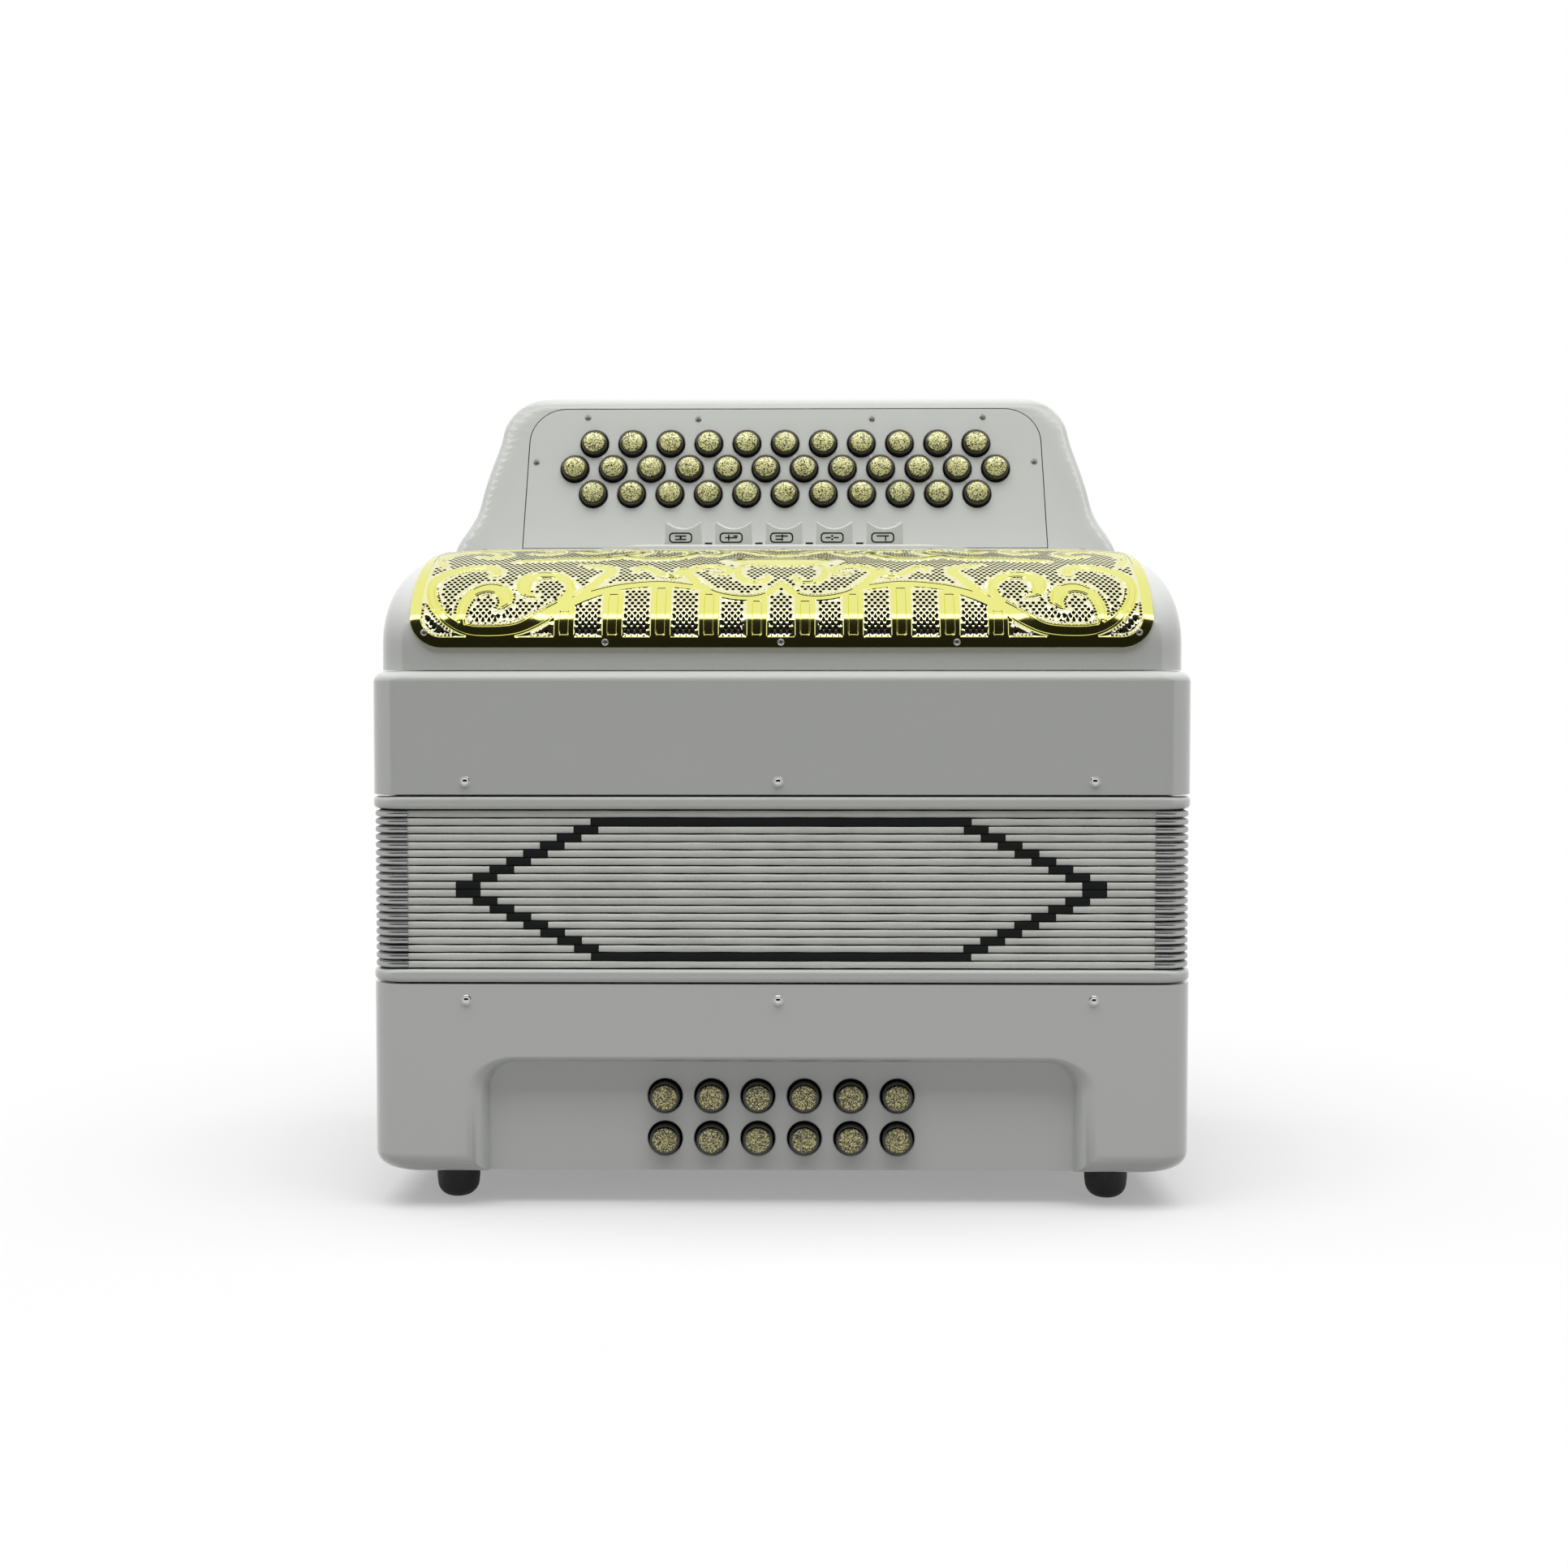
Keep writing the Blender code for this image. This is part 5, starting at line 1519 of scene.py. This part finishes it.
class Pattern:
    """The grille's pattern, the same on both sides, as distances inside each kind of area on a fine grid."""

    def __init__(self, hood):
        half = np.arange(0, FIELD_HALF_WIDTH, FIELD_STEP)
        across, level = np.meshgrid(half, np.arange(FIELD_LOW, FIELD_TOP, FIELD_STEP))
        self.left = -half[-1]
        outside = outside_field(across, level, hood.edge(np.clip(level, 0, GRILLE_LENGTH)))
        ribbons, bars, panels = (np.full(across.shape, FAR_OUT) for _ in range(3))
        for points in SCROLLS:
            for disc in ribbon_discs(points):
                self.add_disc(ribbons, disc)
        for middle, high in BARS:
            centre, bar_top, panel_top = middle * MM, (high + BAR_OVERLAP) * MM, high * MM
            bar = rectangle_field(across, level, centre, BAR_HALF, 0, bar_top)
            panel = rectangle_field(across, level, centre, BAR_PANEL_HALF, BAR_PANEL_START, panel_top)
            bars = np.maximum(bars, bar)
            panels = np.maximum(panels, panel)
        squash = np.hypot(across / PLAQUE_HALF_WIDTH, (level - PLAQUE_UP) / PLAQUE_HALF_HEIGHT)
        plaque = (1 - squash) * PLAQUE_HALF_HEIGHT
        solid = np.maximum.reduce([ribbons, bars, plaque, outside + BAND])
        halves = {"ribbons": ribbons, "outside": outside, "bars": bars, "panels": panels, "solid": solid}
        self.fields = {}
        for name, right in halves.items():
            self.fields[name] = np.concatenate([right[:, :0:-1], right], axis=1)

    def add_disc(self, ribbons, disc):
        """Raises the distances near one disc of a ribbon."""
        reach = disc.z + RIBBON_MARGIN
        first = max(int((disc.x - reach) / FIELD_STEP), 0)
        last = min(int((disc.x + reach) / FIELD_STEP) + 2, ribbons.shape[1])
        low = max(int((disc.y - reach - FIELD_LOW) / FIELD_STEP), 0)
        high = min(int((disc.y + reach - FIELD_LOW) / FIELD_STEP) + 2, ribbons.shape[0])
        if last <= first or high <= low:
            return
        x = np.arange(first, last) * FIELD_STEP - disc.x
        y = np.arange(low, high) * FIELD_STEP + FIELD_LOW - disc.y
        spot = ribbons[low:high, first:last]
        np.maximum(spot, disc.z - np.hypot(x[None, :], y[:, None]), out=spot)

    def read(self, name, u, up):
        """A field's value at points, from the four grid points round each."""
        field = self.fields[name]
        column = np.clip((np.asarray(u) - self.left) / FIELD_STEP, 0, field.shape[1] - 1.001)
        row = np.clip((np.asarray(up) - FIELD_LOW) / FIELD_STEP, 0, field.shape[0] - 1.001)
        i, j = column.astype(int), row.astype(int)
        a, b = column - i, row - j
        low = field[j, i] * (1 - a) + field[j, i + 1] * a
        high = field[j + 1, i] * (1 - a) + field[j + 1, i + 1] * a
        return low * (1 - b) + high * b

    def slope(self, name, u, up, nudge):
        """How a field changes across and up between a little before a point and a little after it."""
        across = self.read(name, u + nudge, up) - self.read(name, u - nudge, up)
        return across, self.read(name, u, up + nudge) - self.read(name, u, up - nudge)

    def lined(self, u, up):
        """Where scroll edges have an engraved line: everywhere but along the underside of the arch."""
        falling = self.slope("ribbons", u, up, FIELD_STEP)[1] < 0
        return (np.abs(u) > ARCH_HALF) | (up > ARCH_TOP) | falling

    def contours(self, name, level, gap):
        """Even-spaced points along each line where a field has this value, as (points, closed)."""
        field = self.fields[name] - level
        above = field > 0
        number = {}
        points = []

        def crossing(first, second):
            """The number of the point between two neighbours of the grid where the field passes zero."""
            key = min(first, second), max(first, second)
            if key not in number:
                before, after = key
                share = field[before] / (field[before] - field[after])
                column = before[1] + share * (after[1] - before[1])
                row = before[0] + share * (after[0] - before[0])
                number[key] = len(points)
                points.append((self.left + column * FIELD_STEP, FIELD_LOW + row * FIELD_STEP))
            return number[key]

        here, right, over, across = above[:-1, :-1], above[:-1, 1:], above[1:, :-1], above[1:, 1:]
        links = {}
        for row, column in np.argwhere((here != across) | (right != over) | (here != right)).tolist():
            corners = [(row, column), (row, column + 1), (row + 1, column + 1), (row + 1, column)]
            sides = zip(corners, corners[1:] + corners[:1])
            found = [crossing(*side) for side in sides if above[side[0]] != above[side[1]]]
            for first, second in zip(found[::2], found[1::2]):
                links.setdefault(first, []).append(second)
                links.setdefault(second, []).append(first)
        for line, closed in chains(links):
            yield even_spaced([points[index] for index in line], closed, gap), closed


def chains(links):
    """Joins linked pairs of numbers into runs, the open ones first."""
    ends = [number for number, near in links.items() if len(near) == 1]
    seen = set()
    for start in ends + list(links):
        if start in seen:
            continue
        line = [start]
        seen.add(start)
        after = [near for near in links[start] if near not in seen]
        while after:
            line.append(after[0])
            seen.add(after[0])
            after = [near for near in links[after[0]] if near not in seen]
        if len(line) > 3:
            yield line, start in links[line[-1]]


def even_spaced(line, closed, gap):
    """Points at even steps along a line."""
    points = np.array(line + line[:1] if closed else line)
    lengths = np.concatenate([[0], np.cumsum(np.hypot(*np.diff(points, axis=0).T))])
    count = max(int(lengths[-1] / gap), 3)
    places = np.linspace(0, lengths[-1], count + 1)
    if closed:
        places = places[:-1]
    return np.stack([np.interp(places, lengths, points[:, axis]) for axis in (0, 1)], axis=1)


class FlatWork:
    """Collects the pattern's points, their heights and the lines between them, for one triangulation."""

    def __init__(self):
        self.points, self.heights, self.edges, self.faces = [], [], [], []

    def add(self, points, height):
        start = len(self.points)
        self.points += [tuple(point) for point in points]
        self.heights += list(np.broadcast_to(height, len(points)))
        return list(range(start, len(self.points)))

    def line(self, points, closed, height, kept):
        """A run of points with edges between those that are kept."""
        numbers = self.add(points, height)
        pairs = list(zip(range(len(points)), range(1, len(points))))
        if closed:
            pairs.append((len(points) - 1, 0))
        self.edges += [(numbers[a], numbers[b]) for a, b in pairs if kept[a] and kept[b]]


def relief(pattern, u, up):
    """The sheet's height at points, below the raised work's face: sunk ground and engraved lines."""
    solid = np.clip(pattern.read("solid", u, up) / RELIEF_SLOPE, 0, 1)
    height = GROUND_DROP * (solid - 1)
    for name, depth_in, kept in (("ribbons", LINE_INSET, pattern.lined(u, up)), ("panels", 0, True)):
        away = np.abs(pattern.read(name, u, up) - depth_in)
        height = height - kept * LINE_DEPTH * np.clip(1 - away / LINE_HALF, 0, 1)
    return height


def add_lines(work, pattern):
    """The edges of the sheet, of the raised work and of the engraved lines."""
    for name, level, gap in SHEET_LINES:
        for points, closed in pattern.contours(name, level, gap * MM):
            kept = pattern.lined(*points.T) if name == "ribbons" else np.full(len(points), True)
            work.line(points, closed, relief(pattern, *points.T), kept)


def add_filling(work, pattern):
    """Points on a loose grid over the raised work, clear of its lines, so that it follows the hood."""
    u, up = (part.ravel() * MM for part in np.meshgrid(np.arange(*FILLING_ACROSS), np.arange(*FILLING_UP)))
    clear = pattern.read("solid", u, up) > FILLING_FROM_EDGE * MM
    clear &= np.abs(pattern.read("ribbons", u, up) - LINE_INSET) > FILLING_FROM_LINE * MM
    clear &= np.abs(pattern.read("panels", u, up)) > FILLING_FROM_PANEL * MM
    clear &= pattern.read("outside", u, up) < -FILLING_FROM_OUTLINE * MM
    work.add(np.stack([u[clear], up[clear]], axis=1), 0)


def add_teeth(work, pattern):
    """Short raised dashes square to the edges of the raised work, as a milling wheel leaves them."""
    for points, _ in pattern.contours("solid", -TOOTH_START, TOOTH_PITCH / 2):
        u, up = points.T
        across, rise = pattern.slope("solid", u, up, FIELD_STEP)
        steepness = np.maximum(np.hypot(across, rise), 1e-9)
        away = -np.stack([across / steepness, rise / steepness], axis=1)
        tips = points + TOOTH_LENGTH * away
        feet = tips + TOOTH_RUN_OUT * away
        free = (pattern.read("bars", u, up) < -TOOTH_BAR_ROOM) & pattern.lined(u, up)
        free &= pattern.read("solid", *feet.T) < -TOOTH_ROOM
        for index in np.flatnonzero(free):
            height = TOOTH_TOP if index % 2 else TOOTH_VALLEY
            spots = [points[index], tips[index], feet[index]]
            numbers = work.add(spots, [height, height, -GROUND_DROP])
            work.edges += zip(numbers, numbers[1:])


def add_holes(work, pattern):
    """A staggered lattice of holes in the open areas, with a small peak wherever three holes meet."""
    rows = int(GRILLE_LENGTH / HOLE_ROW) + 1
    columns = int(FIELD_HALF_WIDTH / HOLE_PITCH)
    peaks = set()
    for row in range(rows):
        up = BAND + (row + HOLE_ROW_START) * HOLE_ROW
        for column in range(-columns, columns + 1):
            u = (column + 0.5 * (row % 2)) * HOLE_PITCH
            lined = pattern.lined(u, up)
            if -float(pattern.read("solid", u, up)) < (HOLE_ROOM if lined else HOLE_WINDOW_ROOM):
                continue
            work.faces.append(work.add(arc(u, up, HOLE_RADIUS, 22.5, 337.5, 7), RIM_HEIGHT))
            peak_room = PEAK_ROOM if lined else PEAK_WINDOW_ROOM
            for side, end in ((-1, 1), (1, 1), (0, 2), (-1, -1), (1, -1), (0, -2)):
                spot = (u + side * HOLE_PITCH / 2, up + end * HOLE_ROW / 3)
                if float(pattern.read("solid", *spot)) < -peak_room:
                    peaks.add((round(spot[0] / MM, 3), round(spot[1] / MM, 3)))
    work.add([(x * MM, y * MM) for x, y in sorted(peaks)], PEAK_HEIGHT)


def make_grille():
    """One pierced and engraved sheet: raised scrolls, bars and border, sunk ground, and real holes."""
    hood = HoodSkin(GRILLE_LIFT)
    pattern = Pattern(hood)
    drawn = FlatWork()
    add_lines(drawn, pattern)
    add_filling(drawn, pattern)
    add_teeth(drawn, pattern)
    add_holes(drawn, pattern)
    scaled = [Vector((x / MM, y / MM)) for x, y in drawn.points]
    found, _, faces, origins, _, in_holes = delaunay_2d_cdt(scaled, drawn.edges, drawn.faces, 0, 1e-5)
    flat = np.array(found) * MM
    heights = relief(pattern, *flat.T)
    for index, origin in enumerate(origins):
        if origin:
            heights[index] = drawn.heights[origin[0]]
    centres = np.array([flat[list(face)].mean(axis=0) for face in faces])
    inside = pattern.read("outside", *centres.T) < 0
    raised = pattern.read("solid", *centres.T) > 0
    kept = [index for index in range(len(faces)) if inside[index] and not in_holes[index]]
    top = [tuple(faces[index]) for index in kept]
    points, walls = sheet_walls(hood, pattern, flat, heights, top)
    mesh = bpy.data.meshes.new("grille_sheet")
    mesh.from_pydata(points.tolist(), [], top + walls)
    mesh.materials.append(gold_plate("gold_plate", (0.88, 0.87, 0.27), 0.04))
    mesh.materials.append(gold_plate("gold_ground", (0.93, 0.91, 0.58), 0.08))
    for index, polygon in zip(kept, mesh.polygons):
        polygon.material_index = 0 if raised[index] else 1
    drop_loose(mesh)
    mesh.shade_smooth()
    mesh.set_sharp_from_angle(angle=math.radians(38))
    finish_piece(add_object("grille_sheet", mesh), "treble_end", "gold_plate", "grille")


def drop_loose(mesh):
    """Removes the points that no face uses."""
    work = bmesh.new()
    work.from_mesh(mesh)
    loose = [vert for vert in work.verts if not vert.link_faces]
    bmesh.ops.delete(work, geom=loose, context="VERTS")
    work.to_mesh(mesh)
    work.free()


def sheet_walls(hood, pattern, flat, heights, top):
    """The sheet's points laid on the hood, and walls that go down from its edge and its holes."""
    directed = set()
    for face in top:
        directed.update(zip(face, face[1:] + face[:1]))
    rim = [(a, b) for a, b in directed if (b, a) not in directed]
    rim_points = sorted({a for edge in rim for a in edge})
    lower = {point: len(flat) + index for index, point in enumerate(rim_points)}
    in_field = pattern.read("outside", *flat[rim_points].T) < -HOLE_RADIUS
    all_flat = np.concatenate([flat, flat[rim_points]])
    all_heights = np.concatenate([heights, np.where(in_field, -HOLE_WALL, -GRILLE_SHEET)])
    points = hood.place(all_flat[:, 0], np.maximum(all_flat[:, 1], 0), all_heights)
    return points, [(b, a, lower[a], lower[b]) for a, b in rim]


def make_lining_and_painted_shade():
    """Thin black cloth behind the grille; its near-black colour is partly the cloth's own and partly painted
    shade of the case's inside.
    """
    hood = HoodSkin(LINING_LIFT)
    ups = np.linspace(LINING_MARGIN, LINING_END, LINING_ROWS)
    columns = LINING_COLUMNS
    rows = []
    for lift in (0, LINING_THICKNESS):
        for up in ups if lift else ups[::-1]:
            into_corner = GRILLE_CORNER - min(up, GRILLE_LENGTH - up, GRILLE_CORNER)
            rounding = GRILLE_CORNER - math.sqrt(GRILLE_CORNER ** 2 - into_corner ** 2)
            reach = float(hood.edge(up)) - LINING_MARGIN - rounding
            across = np.linspace(-reach, reach, columns)
            rows.append(hood.place(across, np.full(columns, up), np.full(columns, lift)))
    points = [Vector(point) for row in rows for point in row]
    faces = []
    for row in range(len(rows)):
        here, after = row * columns, (row + 1) % len(rows) * columns
        for column in range(columns - 1):
            faces.append((here + column, here + column + 1, after + column + 1, after + column))
    for side in (0, columns - 1):
        for row in range(len(ups) - 1):
            corners = (row, row + 1, len(rows) - 2 - row, len(rows) - 1 - row)
            faces.append(tuple(corner * columns + side for corner in corners))
    # Near black: partly the cloth's own colour, partly painted shade of the inside seen through the holes
    black = cloth("lining_cloth_and_painted_shade", (0.005, 0.005, 0.004), grey(0.002))
    finish_piece(new_object("grille_lining_and_painted_shade", points, faces, black), "treble_end", "black_plastic")


# Small hardware

def make_pin(name, place, body, finish):
    """A domed pin head with a small collar, its back in the surface."""
    collar = PIN_RADIUS * PIN_COLLAR
    profile = [(0.3 * MM, -PIN_ROOT), (collar, -PIN_ROOT), (collar, 0.1 * MM)]
    profile.append((PIN_RADIUS, PIN_COLLAR_HEIGHT))
    for degrees in PIN_DOME_ANGLES:
        angle = math.radians(degrees)
        dome = PIN_COLLAR_HEIGHT + PIN_DOME_SHARE * PIN_RADIUS * math.sin(angle)
        profile.append((PIN_RADIUS * math.cos(angle), dome))
    finish_piece(new_object(name, *placed(turned(profile, PIN_SIDES), place), finish), body, "gold_plate")


def make_screw(name, place, radius, turn, finish):
    """A low domed screw head with a cross recess."""
    profile = [(0.2 * MM, -SCREW_ROOT), (0.8 * radius, -SCREW_ROOT)]
    profile += [(radius, 0.02 * MM), (0.97 * radius, SCREW_EDGE_RISE * MM)]
    for share in (0.85, 0.65, 0.45, 0.25, 0.08):
        profile.append((radius * share, (SCREW_EDGE_RISE + SCREW_DOME_RISE * (1 - share * share)) * MM))
    head = new_object(name, *turned(profile, SCREW_SIDES), finish)
    arm, half = CROSS_ARM_SHARE * radius, CROSS_HALF_SHARE * radius
    cut(head, block((-arm, -half, -CROSS_DEPTH), (arm, half, REACH)))
    cut(head, block((-half, -arm, -CROSS_DEPTH), (half, arm, 0.98 * REACH)))
    polish(head)
    head.data.transform(Matrix.Rotation(turn, 4, "Z"))
    head.data.transform(place)
    finish_piece(head, "treble_end", "gold_plate")


def make_hardware():
    """Plate and grille screws, and the domed pins that hold the bellows frames in the cases."""
    chance = random.Random(SCREW_SEED)
    steel = chrome("screw_steel", 0.45, 0.3)
    places = []
    for x, up in PLATE_SCREWS:
        for side in (-1, 1):
            places.append(FINGERBOARD @ Matrix.Translation((side * x * MM, up * MM, PLATE_SCREW_LIFT)))
    for index, place in enumerate(places):
        turn = chance.uniform(0, LARGEST_TURN)
        make_screw(f"plate_screw_{index + 1}", place, PLATE_SCREW_RADIUS, turn, steel)
    hood = HoodSkin(GRILLE_LIFT)
    spots = [(side * u, up) for u, up in GRILLE_SCREWS for side in (-1, 1)] + list(GRILLE_MIDDLE_SCREWS)
    for index, (u, up) in enumerate(spots):
        place = hood.matrix(u * MM, up * MM)
        turn = chance.uniform(0, LARGEST_TURN)
        make_screw(f"grille_screw_{index + 1:02d}", place, GRILLE_SCREW_RADIUS, turn, steel)
    nickel = chrome("pin_nickel", 0.6, 0.05)
    for body, z, name in (("treble_end", TREBLE_PIN_Z, "treble_pin"), ("bass_end", BASS_PIN_Z, "bass_pin")):
        for side, end in ((-1, "front"), (1, "back")):
            face_out = Matrix.Rotation(-side * math.pi / 2, 4, "X")
            for index, x in enumerate(PIN_XS):
                place = Matrix.Translation((x, side * HALF_DEPTH, z)) @ face_out
                make_pin(f"{name}_{end}_{index + 1}", place, body, nickel)


# Buttons

def treble_place(name):
    """Where a treble button's axis meets the fingerboard, with local Z out of it."""
    low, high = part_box(name)
    centre = FINGERBOARD.inverted() @ ((low + high) / 2)
    return FINGERBOARD @ Matrix.Translation((centre.x, centre.y, 0))


def bass_place(name):
    """Where a bass button's axis meets the recess, with local Z out of it."""
    low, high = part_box(name)
    centre = (low + high) / 2
    spot = Matrix.Translation((centre.x, RECESS_DEPTH - HALF_DEPTH, centre.z))
    return spot @ Matrix.Rotation(math.pi / 2, 4, "X")


def button_cap(proud):
    """A cap with a rounded rim and a slightly domed face."""
    edge = BUTTON_SKIRT_EDGE
    profile = [(BUTTON_RADIUS - edge, -BUTTON_SKIRT), (BUTTON_RADIUS, edge - BUTTON_SKIRT)]
    profile += arc(BUTTON_RADIUS - BUTTON_RIM, proud - BUTTON_RIM - BUTTON_RIM_DROP, BUTTON_RIM, 0, 80, 6)
    for share in BUTTON_FACE_SHARES:
        profile.append((BUTTON_RADIUS * share, proud - BUTTON_CROWN * share ** 2))
    return turned(profile, BUTTON_SIDES)


def make_button(name, place, proud, finish, slot):
    """A button whose face is glitter and whose side is black. Its rim attribute grows towards the edge."""
    obj = new_object(name + "_cap", *placed(button_cap(proud), place), finish, sharp=70)
    obj.data.materials.append(BLACK)
    axis = (place.to_3x3() @ Vector((0, 0, 1))).normalized()
    for face in obj.data.polygons:
        if face.normal.dot(axis) < FACE_TILT:
            face.material_index = 1
    inverse = place.inverted()
    rim = obj.data.attributes.new("rim", "FLOAT", "POINT")
    for vertex, value in zip(obj.data.vertices, rim.data):
        value.value = (inverse @ vertex.co).xy.length / BUTTON_RADIUS
    finish_piece(obj, name, slot, name)


def make_buttons():
    bright = glitter("gold_glitter", (0.92, 0.89, 0.36), (0.05, 0.045, 0.006), 0.3)
    dull = glitter("olive_glitter", (0.32, 0.28, 0.085), (0.008, 0.008, 0.003), 0.46)
    for name in TREBLE_BUTTONS:
        make_button(name, treble_place(name), TREBLE_PROUD, bright, "gold_glitter")
    for name in BASS_BUTTONS:
        make_button(name, bass_place(name), BASS_PROUD, dull, "olive_glitter")


LACQUER = white_lacquer()
BLACK = black_plastic("black_plastic")
RUBBER = rubber()

make_camera()
make_stage()
make_bass_case()
make_feet()
make_air_button()
make_treble_case()
make_bellows_frame("bass_bellows_frame", "bass_end")
make_bellows_frame("treble_bellows_frame", "treble_end")
make_bellows()
make_cover()
make_plinth()
make_clips()
make_plate()
make_registers()
make_grille()
make_lining_and_painted_shade()
make_hardware()
make_buttons()
